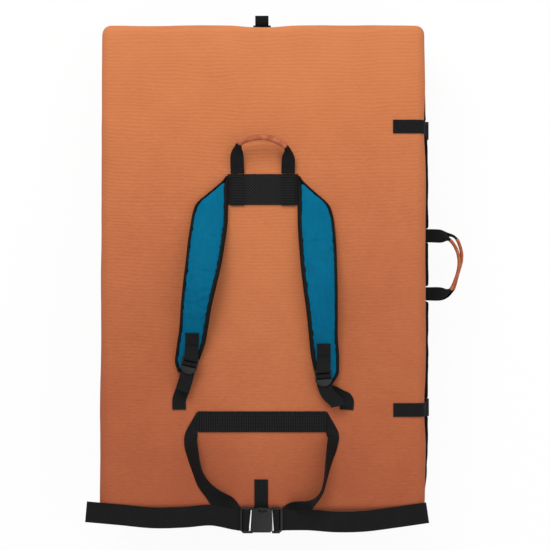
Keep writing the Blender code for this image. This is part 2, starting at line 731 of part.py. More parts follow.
# Ladder lock with its sewn tab, the adjuster's load strand, its turn over the bar and its free tail
def lock_frame(strap):
    top = strap.top(LOCK_SHARE, LOCK_SHIFT)
    tip = strap.top(1, LOCK_SHIFT)
    start = strap.top(TAB_SHARE, LOCK_SHIFT)
    along = tip - top
    run = (top.xy - start.xy).normalized() * along.xy.length
    along = Vector((run.x, run.y, along.z)).normalized()
    across = UP.cross(along).normalized()
    normal = along.cross(across)
    rise = LOCK_THICK / 2 + 3 * CLEARANCE + 2 * WEBBING_THICK
    return axes_frame(top + normal * rise, along, normal)


def ladder_turn(frame, bar, outward, bar_half, thick_half, web, entry=0):
    """Webbing centres round a bar: in below it, up, over, down and out again under the next bar."""
    over = thick_half + CLEARANCE + web / 2
    beside = bar_half + CLEARANCE + web / 2
    places = ((-beside, -over - entry), (-beside, over), (beside, over), (beside, -over))
    return [in_frame(frame, bar + outward * along, normal) for along, normal in places]


def make_lock(strap, looks, carry):
    frame = lock_frame(strap)
    across = in_frame(frame, 0, 0, 1) - frame.translation
    axis = joint_axis(f"{strap.name}_ladder_lock_axis", frame.translation, carry)
    print(f"  across {across.x:.5f} {across.y:.5f} {across.z:.5f}")
    half_bar = LOCK_BAR / 2
    half_web = WEBBING_WIDTH / 2 + 2 * CLEARANCE
    second_bar = half_bar + LOCK_TAB_SLOT
    lip = second_bar + LOCK_BAR + LOCK_TAIL_SLOT
    end = lip + LOCK_LIP
    lip_half = LOCK_LIP_WIDTH / 2
    half = LOCK_WIDTH / 2
    outline = [
        (-half_bar, -half), (lip + LOCK_LIP * 0.3, -half), (end - LOCK_LIP * 0.3, -lip_half * 1.4), (end, -lip_half * 0.7),
        (end, lip_half * 0.7), (end - LOCK_LIP * 0.3, lip_half * 1.4), (lip + LOCK_LIP * 0.3, half), (-half_bar, half),
    ]
    slots = [rectangle(half_bar, second_bar, half_web), rectangle(second_bar + LOCK_BAR, lip, half_web)]
    thick = LOCK_THICK / 2
    plate(f"{strap.name}_ladder_lock", looks["plastic"], outline, slots, -thick, thick, frame, axis)

    tab_lift = 2 * CLEARANCE + WEBBING_THICK / 2
    doubled = tab_lift + 2 * CLEARANCE + WEBBING_THICK
    shares = [TAB_SHARE + (LOCK_SHARE - TAB_SHARE) * step for step in (0, 0.25, 0.5, 0.78)]
    tab_shift = LEFT_TAB_SHIFT if strap.sign < 0 else RIGHT_TAB_SHIFT
    shifts = [tab_shift + (LOCK_SHIFT - tab_shift) * step for step in (0, 0.25, 0.5, 0.78)]
    spots = list(zip(shares, shifts))
    run = (strap.top(shares[3], shifts[3]) - strap.top(shares[0], shifts[0])).xy.to_3d()
    sewn_across = UP.cross(run).normalized()
    sewn_acrosses = [sewn_across, sewn_across, sewn_across.lerp(across, 0.5), across]
    loop = half_bar + TAB_LOOP_CLEARANCE + WEBBING_THICK / 2
    turns = [in_frame(frame, *place) for place in ((-loop, -loop), (loop, -loop), (loop, loop), (-loop, loop))]
    stations = []
    for (share, shift), aim in zip(spots, sewn_acrosses):
        stations.append((strap.top(share, shift) + UP * tab_lift, strap.across_at(share, aim)))
    stations += [(point, across) for point in turns]
    for i, lift in ((3, doubled + WEBBING_THICK), (2, doubled)):
        stations.append((strap.top(*spots[i]) + UP * lift, strap.across_at(shares[i], sewn_acrosses[i])))
    stations = [(point, aim, WEBBING_WIDTH) for point, aim in stations]
    ribbon(f"{strap.name}_strap_tab", looks["webbing"], stations, WEBBING_THICK, carry)

    bar = second_bar + half_bar
    turn = ladder_turn(frame, bar, 1, half_bar, thick, WEBBING_THICK)
    below = -thick - 2 * CLEARANCE - WEBBING_THICK * 1.5
    tip = (LOCK_SHARE - 1) * -strap.length
    load = [in_frame(frame, bar - half_bar, below), in_frame(frame, max(tip, end), below)]
    stations = [(point, across, WEBBING_WIDTH) for point in load]
    foot_x, foot_y = strap.sign * ADJUSTER_OUT, from_bottom(ADJUSTER_FROM_BOTTOM)
    lift = CLEARANCE + WEBBING_THICK / 2
    heel = on_face(foot_x, foot_y + ADJUSTER_SEWN, lift)
    for share in (0.35, 0.7):
        place = load[-1].lerp(heel, share)
        swing = across.normalized().lerp(EAST, share)
        place.z = heel.z + (load[-1].z - heel.z) * (1 - share) ** 2 + WEBBING_THICK * (1 - share)
        stations.append((place, swing, WEBBING_WIDTH))
    stations += [face_station(foot_x, foot_y + reach, 1, 0, WEBBING_WIDTH, lift) for reach in (ADJUSTER_SEWN, 0)]
    ribbon(f"{strap.name}_adjuster", looks["webbing"], stations, WEBBING_THICK, carry)

    length = LEFT_TAIL_LENGTH if strap.sign < 0 else RIGHT_TAIL_LENGTH
    tail = [in_frame(frame, end, -thick - CLEARANCE - WEBBING_THICK / 2)]
    ahead = (tail[0] - turn[-1]).normalized()
    swing = LEFT_TAIL_SWING if strap.sign < 0 else RIGHT_TAIL_SWING
    for share in TAIL_SHARES:
        drift = across * (swing * share * share)
        tail.append(tail[0] + ahead * (length * share) + drift + UP * (WEBBING_THICK * share * 2))
    stations = [(point, across, WEBBING_WIDTH) for point in turn + tail[:1]]
    for i in range(1, len(tail)):
        run = (tail[i] - tail[i - 1]).xy.to_3d()
        aim = UP.cross(run).normalized()
        stations.append((tail[i], across.lerp(aim, min(1, TAIL_SHARES[i - 1] * 1.4)), WEBBING_WIDTH))
    ribbon(f"{strap.name}_adjuster_tail", looks["webbing"], stations, WEBBING_THICK, axis)


# Waist belt: sewn band, two belt webbings and a side-release buckle
# Each leg runs from the band's end to the buckle's end and stands partly on its outer edge.
# Rows: share of the run inwards, share of the run down, share of the width seen from above
LEFT_LEG_SHARES = (
    (-0.150, 0.197, 0.58), (-0.178, 0.263, 0.60), (-0.138, 0.354, 0.63), (-0.008, 0.545, 0.51),
    (0.149, 0.669, 0.62), (0.371, 0.763, 0.75), (0.530, 0.820, 0.92), (0.700, 0.880, 1),
)
RIGHT_LEG_SHARES = (
    (-0.138, 0.197, 0.58), (-0.160, 0.247, 0.50), (-0.109, 0.354, 0.46), (-0.046, 0.475, 0.30),
    (0.029, 0.636, 0.15), (0.104, 0.737, 0.17), (0.224, 0.803, 0.27), (0.360, 0.843, 0.45), (0.500, 0.872, 0.72),
    (0.640, 0.905, 0.94), (0.780, 0.942, 1),
)
LEFT_TAIL_OVER = 0.0265
RIGHT_TAIL_OVER = 0.0040
TAIL_RUN_SHARES = (0.17, 0.35, 0.55, 0.78, 1)
LEFT_TAIL_BOW_SHARES = (-0.9, -0.5, -0.35, -0.95, -1.5)
RIGHT_TAIL_BOW_SHARES = (0, 0.36, 0.26, -0.53, -1.4)


def make_belt(looks, carry):
    band_y = from_bottom(BAND_FROM_BOTTOM)
    lift = CLEARANCE + BELT_THICK / 2
    xs = [BAND_CENTRE_X + BAND_WIDTH * share for share in (-0.5, -0.25, 0, 0.25, 0.5)]
    stations = [face_station(x, band_y, 0, 1, BELT_WIDTH, lift) for x in xs]
    ribbon("waist_band", looks["webbing"], stations, BELT_THICK, carry)

    centre = on_face(BUCKLE_CENTRE_X, -PAD_LENGTH / 2, WAIST_BODY_THICK / 2 + WEBBING_THICK + 2 * CLEARANCE)
    centre.y = from_bottom(-BUCKLE_BEYOND_EDGE)
    frame = axes_frame(centre, EAST, UP)
    web = looks["webbing"]
    left = LEFT_LEG_SHARES, LEFT_TAIL_OVER, LEFT_TAIL_BOW_SHARES
    right = RIGHT_LEG_SHARES, RIGHT_TAIL_OVER, RIGHT_TAIL_BOW_SHARES
    make_belt_side("left_belt_webbing", -1, frame, xs[0], left, web, carry)
    make_belt_side("right_belt_webbing", 1, frame, xs[-1], right, web, carry)
    make_waist_socket(looks["plastic"], frame, carry)
    make_waist_plug(looks["plastic"], frame, carry)


def make_belt_side(name, sign, frame, band_end, shape, look, carry):
    leg_shares, tail_over, bow_shares = shape
    half_length = WAIST_LENGTH / 2
    half_width = BELT_WIDTH / 2
    over = LADDER_THICK / 2 + CLEARANCE + BELT_THICK / 2
    second = BELT_THICK + CLEARANCE
    bar = sign * (half_length - LADDER_BAR * 1.5 - LADDER_SLOT)
    end = in_frame(frame, sign * half_length, -over - second)
    start = Vector((band_end + sign * CLEARANCE, half_width + from_bottom(BAND_FROM_BOTTOM), 0))
    rest = CLEARANCE + BELT_THICK / 2
    centres, widths = [], []
    for inwards, down, width_share in leg_shares:
        centres.append(Vector((start.x + (end.x - start.x) * inwards, start.y + (end.y - start.y) * down, 0)))
        widths.append(width_share)
    stations = [face_station(start.x + sign * BELT_THICK / 2, start.y - BELT_THICK, -sign, 0, BELT_THICK / 2, rest)]
    for i, (centre, width_share) in enumerate(zip(centres, widths)):
        ahead = (centres[i + 1] if i + 1 < len(centres) else end.xy.to_3d()) - centres[max(i - 1, 0)]
        inwards = UP.cross(ahead).normalized() * -sign if i else EAST * -sign
        inwards = inwards if inwards.x * sign < 0 else -inwards
        width = BELT_WIDTH * width_share
        tall = BELT_WIDTH * math.sqrt(1 - width_share ** 2) * min(1, 0.45 * i)
        foot_y = max(centre.y, EDGE_RADIUS - PAD_LENGTH / 2)
        place = on_face(centre.x, foot_y, rest + tall / 2)
        place.y = centre.y
        across = inwards * width + UP * tall
        stations.append((place, across, across.length))
    flat = NORTH
    stations.append((in_frame(frame, sign * (half_length + LADDER_BAR), -over - second), flat, BELT_WIDTH))
    turn = ladder_turn(frame, bar, sign, LADDER_BAR / 2, LADDER_THICK / 2, BELT_THICK, second)
    stations += [(point, flat, BELT_WIDTH) for point in turn]
    first = in_frame(frame, sign * (half_length + LADDER_BAR), -over)
    stations.append((first, flat, BELT_WIDTH))
    reach = PAD_WIDTH / 2 + tail_over
    low = on_face(PAD_WIDTH / 2, -PAD_LENGTH / 2, BELT_THICK * 1.5).z
    for share, bow in zip(TAIL_RUN_SHARES, bow_shares):
        x = first.x + (sign * reach - first.x) * share
        height = low + (first.z - low) * min(1, 1.25 * (1 - share))
        stations.append((Vector((x, first.y - half_width / 2 * bow, height)), flat, BELT_WIDTH))
    ribbon(name, look, stations, BELT_THICK, carry)


def ladder_slots(sign):
    outer = WAIST_LENGTH / 2 - LADDER_BAR
    half = BELT_WIDTH / 2 + 2 * CLEARANCE
    slots = []
    for start in (outer, outer - LADDER_SLOT - LADDER_BAR):
        ends = sorted((sign * start, sign * (start - LADDER_SLOT)))
        slots.append(rectangle(ends[0], ends[1], half))
    return slots


def make_waist_socket(look, frame, carry):
    half_body = WAIST_BODY_LENGTH / 2
    half_thick = WAIST_BODY_THICK / 2
    sleeve_outline = chamfered(-half_body, half_body, WAIST_BODY_WIDTH / 2, WAIST_WALL, WAIST_WALL)
    body = plate("waist_buckle_socket", look, sleeve_outline, [], -half_thick, half_thick, frame, carry)
    ladder = chamfered(-WAIST_LENGTH / 2, -half_body + WAIST_WALL * 2, WAIST_WIDTH / 2, WAIST_CHAMFER, WAIST_WALL)
    thin = LADDER_THICK / 2
    combine(body, plate("cutter_waist_ladder", look, ladder, ladder_slots(-1), -thin, thin, frame), "UNION")
    hollow = WAIST_PRONG_THICK / 2 + PRONG_CLEARANCE
    cavity = rectangle(-half_body + WAIST_WALL * 3, half_body + OVERRUN, WAIST_BODY_WIDTH / 2 - WAIST_WALL)
    combine(body, plate("cutter_waist_cavity", look, cavity, [], -hollow, hollow, frame), "DIFFERENCE")
    window = rectangle(*waist_window(), WAIST_BODY_WIDTH / 2 + OVERRUN)
    combine(body, plate("cutter_waist_window", look, window, [], -hollow, hollow, frame), "DIFFERENCE")


def waist_window():
    return -WAIST_BODY_LENGTH * 0.20, WAIST_BODY_LENGTH * 0.26


def make_waist_plug(look, frame, carry):
    start = WAIST_BODY_LENGTH / 2 + WAIST_MOUTH_GAP
    base = chamfered(start, WAIST_LENGTH / 2, WAIST_WIDTH / 2, WAIST_WALL, WAIST_CHAMFER)
    tongue = WAIST_TONGUE / 2
    tip = -WAIST_BODY_LENGTH * 0.16
    outline = [base[0], *base[1:7], base[7], (start, tongue), (tip + tongue, tongue), (tip, tongue / 2)]
    outline += [(tip, -tongue / 2), (tip + tongue, -tongue), (start, -tongue)]
    thin = LADDER_THICK / 2
    plate("waist_buckle_plug", look, outline, ladder_slots(1), -thin, thin, frame, carry)

    window_low, window_high = waist_window()
    pad_low = window_low + PRONG_CLEARANCE * 1.6
    pad_high = window_high - PRONG_CLEARANCE
    cavity = WAIST_BODY_WIDTH / 2 - WAIST_WALL
    proud = WAIST_BODY_WIDTH / 2 + WAIST_PRONG_PROUD
    root = start - WAIST_MOUTH_GAP
    arm = cavity - WAIST_PRONG_INSET
    half_root = WAIST_PRONG_ROOT / 2
    inner = arm - half_root
    tip = -WAIST_BODY_LENGTH * 0.28
    side = [
        (root, arm - half_root), (root, arm + half_root), (pad_high + PRONG_CLEARANCE, arm + half_root),
        (pad_high, proud), (pad_low, proud), (pad_low, cavity - PRONG_CLEARANCE),
        (tip, arm + half_root), (tip, inner), (pad_low, inner),
    ]
    thin = WAIST_PRONG_THICK / 2
    for name, sign in (("upper", 1), ("lower", -1)):
        pivot = in_frame(frame, root - half_root, 0, sign * arm)
        axis = joint_axis(f"waist_prong_{name}_axis", pivot, carry)
        outline = [(along, sign * across) for along, across in side]
        plate(f"waist_prong_{name}", look, outline, [], -thin, thin, frame, axis)


def main():
    clear_scene()
    looks = {
        "orange": material("orange_cover_fabric", (0.56, 0.19, 0.08), 0.85),
        "blue": material("blue_strap_fabric", (0.0, 0.13, 0.28), 0.8),
        "black_fabric": material("black_landing_fabric", (0.02, 0.02, 0.021), 0.85),
        "webbing": material("black_webbing", (0.013, 0.013, 0.014), 0.75),
        "plastic": material("black_moulded_plastic", (0.025, 0.025, 0.027), 0.42),
        "grip": material("orange_grip_fabric", (0.60, 0.22, 0.11), 0.8),
        "soft_foam": material("open_cell_foam", (0.75, 0.72, 0.55), 0.95),
        "firm_foam": material("closed_cell_foam", (0.25, 0.26, 0.28), 0.9),
    }
    fold_x = -PAD_WIDTH / 2 - CLEARANCE - HINGE_TAPE_THICK - HINGE_CLEARANCE
    carry = joint_axis("fold_axis", Vector((fold_x, 0, MID_Z)))
    make_half("back", BACK, looks, None)
    make_half("carry", CARRY, looks, carry)
    make_closures(looks, carry)
    make_yoke(looks, carry)
    for strap in (
        Strap("left", -1, LEFT_STRAP_TO_SEAM, LEFT_STRAP_LEAN, LEFT_STRAP_ARCH),
        Strap("right", 1, RIGHT_STRAP_TO_SEAM, RIGHT_STRAP_LEAN, RIGHT_STRAP_ARCH),
    ):
        make_strap(strap, looks, carry)
    make_belt(looks, carry)
    make_side_handles(looks, carry)


main()
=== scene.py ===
import math

import bmesh
import bpy
from mathutils import Matrix, Vector, noise


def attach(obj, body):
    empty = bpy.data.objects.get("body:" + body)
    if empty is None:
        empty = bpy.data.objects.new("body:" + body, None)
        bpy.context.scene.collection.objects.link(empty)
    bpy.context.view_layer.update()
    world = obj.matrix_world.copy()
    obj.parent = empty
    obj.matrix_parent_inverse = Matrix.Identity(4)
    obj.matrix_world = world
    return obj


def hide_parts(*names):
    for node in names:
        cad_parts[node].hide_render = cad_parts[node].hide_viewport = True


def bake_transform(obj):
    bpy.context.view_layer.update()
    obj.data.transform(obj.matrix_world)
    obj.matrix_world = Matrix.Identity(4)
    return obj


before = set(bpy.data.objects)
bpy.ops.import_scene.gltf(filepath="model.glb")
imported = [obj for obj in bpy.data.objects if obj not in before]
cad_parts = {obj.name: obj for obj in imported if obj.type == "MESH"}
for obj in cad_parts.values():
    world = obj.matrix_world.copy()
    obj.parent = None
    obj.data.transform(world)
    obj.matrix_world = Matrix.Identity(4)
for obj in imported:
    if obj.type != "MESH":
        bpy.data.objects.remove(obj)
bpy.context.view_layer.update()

# A folding bouldering crash pad, shut, with its carrying harness on top. Sizes are in metres, and the rows
# that webbing follows are in millimetres
mm = 0.001
up = Vector((0, 0, 1))
east = Vector((1, 0, 0))
north = Vector((0, 1, 0))
halves = {"back": -1, "carry": 1}
sides = {"left": -1, "right": 1}
foldZ = 0.0893  # level of the opening between the shut halves
closureX, closureY = -3, 259.5  # where closures cross the walls, in millimetres
print("frame loaded")


# Materials: a socket wrapped so that shader maths reads as plain expressions
class Wire:
    def __init__(self, look, socket):
        self.look = look
        self.socket = socket

    def maths(self, operation, a, b=0):
        return self.look.add("ShaderNodeMath", {"operation": operation}, {0: a, 1: b})

    def __add__(self, other):
        return self.maths("ADD", self, other)

    def __sub__(self, other):
        return self.maths("SUBTRACT", self, other)

    def __rsub__(self, other):
        return self.maths("SUBTRACT", other, self)

    def __mul__(self, other):
        return self.maths("MULTIPLY", self, other)

    __radd__ = __add__
    __rmul__ = __mul__

    def size(self):
        return self.maths("ABSOLUTE", self)

    def wave(self, pitch):
        return self.maths("SINE", self * (2 * math.pi / pitch)) * 0.5 + 0.5

    def above(self, low, high):
        ends = {"From Min": low, "From Max": high}
        return self.look.add("ShaderNodeMapRange", {"interpolation_type": "SMOOTHSTEP"}, {"Value": self, **ends})


class Look:
    def __init__(self, name, slot, roughness, sheen=0, specular=0.5):
        self.slot = slot
        self.material = bpy.data.materials.new(name)
        self.material.use_nodes = True
        self.tree = self.material.node_tree
        self.shader = self.tree.nodes["Principled BSDF"]
        for key, value in (("Roughness", roughness), ("Sheen Weight", sheen), ("Specular IOR Level", specular)):
            self.shader.inputs[key].default_value = value

    def add(self, kind, settings, values, output=0):
        node = self.tree.nodes.new(kind)
        for key, value in settings.items():
            setattr(node, key, value)
        for key, value in values.items():
            if isinstance(value, Wire):
                self.tree.links.new(value.socket, node.inputs[key])
            else:
                node.inputs[key].default_value = value
        return Wire(self, node.outputs[output])

    def place(self, scale=(1, 1, 1), turn=(0, 0, 0), output="Object"):
        source = self.add("ShaderNodeTexCoord", {}, {}, output)
        return self.add("ShaderNodeMapping", {}, {"Vector": source, "Rotation": turn, "Scale": scale})

    def parts(self, vector):
        split = self.add("ShaderNodeSeparateXYZ", {}, {"Vector": vector})
        return [Wire(self, socket) for socket in split.socket.node.outputs]

    def noise(self, scale, detail=3, rough=0.55, turn=(0, 0, 0)):
        scale = scale if isinstance(scale, tuple) else (scale,) * 3
        values = {"Vector": self.place(scale, turn), "Scale": 1, "Detail": detail, "Roughness": rough}
        return self.add("ShaderNodeTexNoise", {}, values)

    def mix(self, share, low, high):
        low = low if isinstance(low, Wire) else (*low, 1)
        high = high if isinstance(high, Wire) else (*high, 1)
        return self.add("ShaderNodeMix", {"data_type": "RGBA"}, {"Factor": share, 6: low, 7: high}, 2)

    def feed(self, socket, wire):
        self.tree.links.new(wire.socket, self.shader.inputs[socket])

    def dress(self, colour, roughness, height=None, distance=0, strength=1):
        self.feed("Base Color", colour)
        self.feed("Roughness", roughness)
        if height:
            values = {"Height": height, "Distance": distance, "Strength": strength}
            self.feed("Normal", self.add("ShaderNodeBump", {}, values))
        return self


coverCloth = {
    "light": (0.655, 0.222, 0.082), "deep": (0.35, 0.08, 0.036), "tones": (-0.35, 1.35),
    "slub": (95, 430, 430), "slubShare": 0.46, "mottle": 13, "mottleShare": 0.38, "thread": 1300, "threadShare": 0.2,
    "fade": 1.02, "paintedLightFallStart": 0.47, "driftShare": 0.24, "paleY": -0.1, "lightPoolFall": (34, 9), "lightPoolShare": 0.26,
    "rib": 0.0064, "ribWander": 0.0165, "ribLean": 0.35, "ribFrom": (-0.38, 0.32), "ribShare": 0.14, "ribLeast": 0.05,
    "wall": (0.056, 0.076), "wallShade": 0.4,
}


def makeCoverFabric():
    cloth = coverCloth
    look = Look("orangeCoverFabric", "orange_cover_fabric", 0.88, sheen=0.05, specular=0.15)
    wander = look.noise((9, 16, 16), 3, 0.5)
    slub = look.noise(cloth["slub"], 2, 0.6)
    threads = look.noise(cloth["thread"], 1)
    mottle = look.noise(cloth["mottle"], 5, 0.62)
    drift = look.noise((2.2, 1.6, 2.2), 2)
    x, y, z = look.parts(look.place())
    # Painted light: the cover gets lighter towards the top of the pad, as if lit from above, with a slow random drift
    # in tone
    fade = y * cloth["fade"] + cloth["paintedLightFallStart"] + (drift - 0.5) * cloth["driftShare"]
    # Painted light: a soft pool of light on the middle of the face, a little below centre
    fallX, fallY = cloth["lightPoolFall"]
    offY = y - cloth["paleY"]
    paintedLightPool = 1 - (x * x * fallX + offY * offY * fallY)
    fade = fade + paintedLightPool.above(0, 1) * cloth["lightPoolShare"]
    rib = (y + z + wander * cloth["ribWander"]).wave(cloth["rib"])
    ribShare = (y - x * cloth["ribLean"]).above(*cloth["ribFrom"]) * cloth["ribShare"] + cloth["ribLeast"]
    # Painted shade: the walls below the rounded edge are darkened, as if turned away from the light
    wall = 1 - (z - foldZ).size().above(*cloth["wall"])
    tone = fade + (rib - 0.5) * ribShare + (slub - 0.5) * cloth["slubShare"] + (mottle - 0.5) * cloth["mottleShare"]
    tone = tone + (threads - 0.5) * cloth["threadShare"] - wall * cloth["wallShade"]
    colour = look.mix(tone.above(*cloth["tones"]), cloth["deep"], cloth["light"])
    height = slub * 0.5 + threads * 0.3 + rib * ribShare
    return look.dress(colour, 0.8 + slub * 0.14, height, 0.0005, 0.6)


strapCloth = {
    "deep": (0.0, 0.072, 0.15), "light": (0.0, 0.17, 0.3), "weave": 0.0026, "fade": 0.55, "paintedLightFallStart": 0.24,
    "webbing": (0.008, 0.008, 0.009), "underLocks": ((-0.1317, -0.1702, -0.221), (0.1102, -0.1925, 0.094)),
    "slot": (0.0112, 0.0042), "slotEdge": 0.0006,
}


def makeStrapFabric():
    cloth = strapCloth
    look = Look("blueStrapFabric", "blue_strap_fabric", 0.86, specular=0.08)
    brushed = look.noise((190, 24, 60), 3, 0.6, (0, 0, math.radians(12)))
    soft = look.noise((26, 9, 20), 4, 0.6)
    x, y, z = look.parts(look.place())
    twill = (x + y * 0.8).wave(cloth["weave"]) * 0.6 + (x * 0.8 - y).wave(cloth["weave"]) * 0.4
    # Painted light: the strap face gets lighter towards its top, as if lit from above
    share = brushed * 0.3 + soft * 0.3 + (y * cloth["fade"] + cloth["paintedLightFallStart"]) + (twill - 0.5) * 0.26
    tone = look.mix(share.above(0.1, 0.95), cloth["deep"], cloth["light"])
    # The webbing that shows through each lock's slot
    wide, tall = cloth["slot"]
    for middleX, middleY, slope in cloth["underLocks"]:
        aside, along = x - middleX, y - middleY
        aside, along = (aside - along * slope).size(), (along - aside * slope).size()
        inside = (1 - aside.above(wide, wide + cloth["slotEdge"])) * (1 - along.above(tall, tall + cloth["slotEdge"]))
        tone = look.mix(inside, tone, cloth["webbing"])
    return look.dress(tone, 0.74 + brushed * 0.16, twill * 0.6 + brushed * 0.4, 0.0004, 0.7)


webbingCloth = {
    "dark": (0.0035, 0.0035, 0.0038), "light": (0.0135, 0.0135, 0.014), "rib": 0.0017, "warp": 0.0011,
    "chevron": 0.55, "selvedge": 0.0014, "barShare": 0.62, "barHeight": 3,
}


# Woven webbing; bars is the pitch of rows sewn across it
def makeWebbing(name, width, ribs=1.0, lift=1.0, bars=0):
    cloth = webbingCloth
    look = Look(name, "black_webbing", 0.78, specular=0.14)
    u, v, w = look.parts(look.place(output="UV"))
    side = u.size()
    chevron = (v + side * cloth["chevron"]).wave(cloth["rib"] * ribs)
    threads = u.wave(cloth["warp"])
    edge = side.above(width / 2 - cloth["selvedge"], width / 2 - cloth["selvedge"] * 0.5)
    fuzz = look.noise(420, 3, 0.7)
    rub = look.noise(38, 4, 0.6)
    share = chevron * 0.34 + threads * 0.14 + fuzz * 0.34 + rub * 0.26 + edge * 0.1
    height = chevron * (1 - edge) * 0.6 + edge * 0.8 + threads * 0.2
    if bars:
        bar = (v + rub * 0.0012).wave(bars)
        share = share + (bar - 0.5) * cloth["barShare"]
        height = height + bar * cloth["barHeight"]
    dark, light = (tuple(tone * lift for tone in cloth[key]) for key in ("dark", "light"))
    return look.dress(look.mix(share.above(0.3, 0.85), dark, light), 0.66 + fuzz * 0.2, height, 0.0005, 0.8)


yokeMesh = {"cell": 0.0052, "dark": (0.002, 0.002, 0.002), "light": (0.022, 0.022, 0.023)}


def makeMeshCloth():
    look = Look("blackYokeMesh", "black_webbing", 0.74, specular=0.14)
    u, v, w = look.parts(look.place(output="UV"))
    ways = {0: (u + v).wave(yokeMesh["cell"]), 1: (u - v).wave(yokeMesh["cell"])}
    cells = look.add("ShaderNodeMath", {"operation": "MAXIMUM"}, ways)
    fuzz = look.noise(500, 3, 0.7)
    colour = look.mix((cells * 0.8 + fuzz * 0.3).above(0.55, 1.0), yokeMesh["dark"], yokeMesh["light"])
    return look.dress(colour, 0.62 + fuzz * 0.2, cells, 0.0009, 0.9)


landingCloth = {
    "dark": (0.009, 0.009, 0.01), "light": (0.034, 0.034, 0.036), "weave": 0.0013,
    "chalk": (0.105, 0.1, 0.092), "chalkShare": 0.35,
}


def makeLandingFabric():
    cloth = landingCloth
    look = Look("blackLandingFabric", "black_landing_fabric", 0.72, specular=0.2)
    x, y, z = look.parts(look.place())
    warp, weft = x.wave(cloth["weave"]), y.wave(cloth["weave"])
    scuff = look.noise((14, 30, 14), 6, 0.7)
    chalk = look.noise((5, 4, 5), 4, 0.6)
    grain = look.noise(900, 2)
    tone = warp * weft * 0.4 + grain * 0.25 + scuff * 0.5
    ground = look.mix(tone.above(0.3, 0.9), cloth["dark"], cloth["light"])
    colour = look.mix((scuff * chalk).above(0.3, 0.48) * cloth["chalkShare"], ground, cloth["chalk"])
    return look.dress(colour, 0.6 + scuff * 0.25, warp * 0.5 + weft * 0.5 + grain * 0.3, 0.0004, 0.7)


plastic = {"dark": 0.009, "light": 0.017, "roughness": 0.33}


def makePlastic(name="blackMouldedPlastic", lift=1):
    look = Look(name, "black_moulded_plastic", 0.4, specular=0.3)
    grain = look.noise(1500, 2, 0.6)
    cloud = look.noise(90, 4, 0.6)
    scratch = look.noise((900, 60, 400), 2, 0.7, (0, 0, math.radians(35)))
    share = (cloud * 0.6 + grain * 0.4).above(0.3, 0.75)
    colour = look.mix(share, (plastic["dark"] * lift,) * 3, (plastic["light"] * lift,) * 3)
    roughness = plastic["roughness"] + cloud * 0.16 + scratch * 0.12
    return look.dress(colour, roughness, grain * 0.6 + scratch * 0.4, 0.00012, 0.6)


def makeThread(name, slot, dark, light):
    look = Look(name, slot, 0.7, specular=0.15)
    twist = look.noise(1800, 1)
    return look.dress(look.mix(twist.above(0.35, 0.65), dark, light), 0.5 + twist * 0.2)


gripCloth = {"dark": (0.35, 0.084, 0.037), "light": (0.6, 0.205, 0.098)}


def makeGripFabric():
    look = Look("orangeGripFabric", "orange_grip_fabric", 0.85, specular=0.12)
    weave = look.noise(900, 2, 0.6)
    soil = look.noise(60, 5, 0.65)
    colour = look.mix((weave * 0.45 + soil * 0.55).above(0.36, 0.66), gripCloth["dark"], gripCloth["light"])
    return look.dress(colour, 0.78 + weave * 0.16, weave, 0.0006, 0.7)


coverFabric = makeCoverFabric()
strapFabric = makeStrapFabric()
webbingLook = makeWebbing("blackWebbing", 0.025)
beltLook = makeWebbing("blackBeltWebbing", 0.038, 1.25)
bandLook = makeWebbing("blackBandWebbing", 0.038, 1.25, 1.2, 0.0043)
barLook = makeWebbing("blackBarWebbing", 0.025, 1, 1.2, 0.0048)
bindingLook = makeWebbing("blackBindingTape", 0.0117, 0.7, 0.9)
meshLook = makeMeshCloth()
landingLook = makeLandingFabric()
plasticLook = makePlastic()
# A darker copy of the plastic: painted shade for the floor of the buckle's thumb recess
recessShadeLook = makePlastic("paintedShadeRecessPlastic", 0.3)
gripLook = makeGripFabric()
threadLook = makeThread("blackThread", "black_webbing", (0.01, 0.01, 0.011), (0.034, 0.034, 0.036))
coverThread = makeThread("orangeThread", "orange_cover_fabric", (0.3, 0.075, 0.03), (0.62, 0.22, 0.1))
print("materials ready")


# Helpers that every piece uses
def clamp(value, low=0, high=1):
    return max(low, min(high, value))


def wobble(x, y, z):
    return noise.noise(Vector((x, y, z)))


def pieceName(node):
    words = node.split("_")
    return words[0] + "".join(word.capitalize() for word in words[1:])


def makeGrid(across, along, size=1):
    data = bmesh.new()
    bmesh.ops.create_grid(data, x_segments=across, y_segments=along, size=size)
    return data


def weld(data, dist=1e-5):
    bmesh.ops.remove_doubles(data, verts=data.verts, dist=dist)


def setUvs(data, layer, spots):
    for face in data.faces:
        for loop in face.loops:
            loop[layer].uv = spots[loop.vert]


def addObject(name, content):
    item = bpy.data.objects.new(name, content)
    bpy.context.scene.collection.objects.link(item)
    return item


def makeObject(name, data, look):
    mesh = bpy.data.meshes.new(name)
    data.to_mesh(mesh)
    data.free()
    mesh.materials.append(look.material)
    mesh.shade_smooth()
    return addObject(name, mesh)


def finishPiece(name, data, look, body, replaced=()):
    piece = makeObject(name, data, look)
    if replaced:
        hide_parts(*replaced)
    if body:
        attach(piece, body)
    return piece


def addPart(data, part):
    scratch = bpy.data.meshes.new("scratch")
    part.to_mesh(scratch)
    part.free()
    data.from_mesh(scratch)
    bpy.data.meshes.remove(scratch)


def modify(piece, name, kind, **settings):
    modifier = piece.modifiers.new(name, kind)
    for key, value in settings.items():
        setattr(modifier, key, value)
    return modifier


def soften(piece, width, segments=2, angle=40):
    edges = {"limit_method": "ANGLE", "angle_limit": math.radians(angle), "harden_normals": True}
    modify(piece, "soft edges", "BEVEL", width=width, segments=segments, **edges)


def thicken(piece, thick, offset=0):
    modify(piece, "thickness", "SOLIDIFY", thickness=thick, offset=offset, use_even_offset=True)


def smoother(piece):
    modify(piece, "smooth", "SUBSURF", levels=1, render_levels=1)


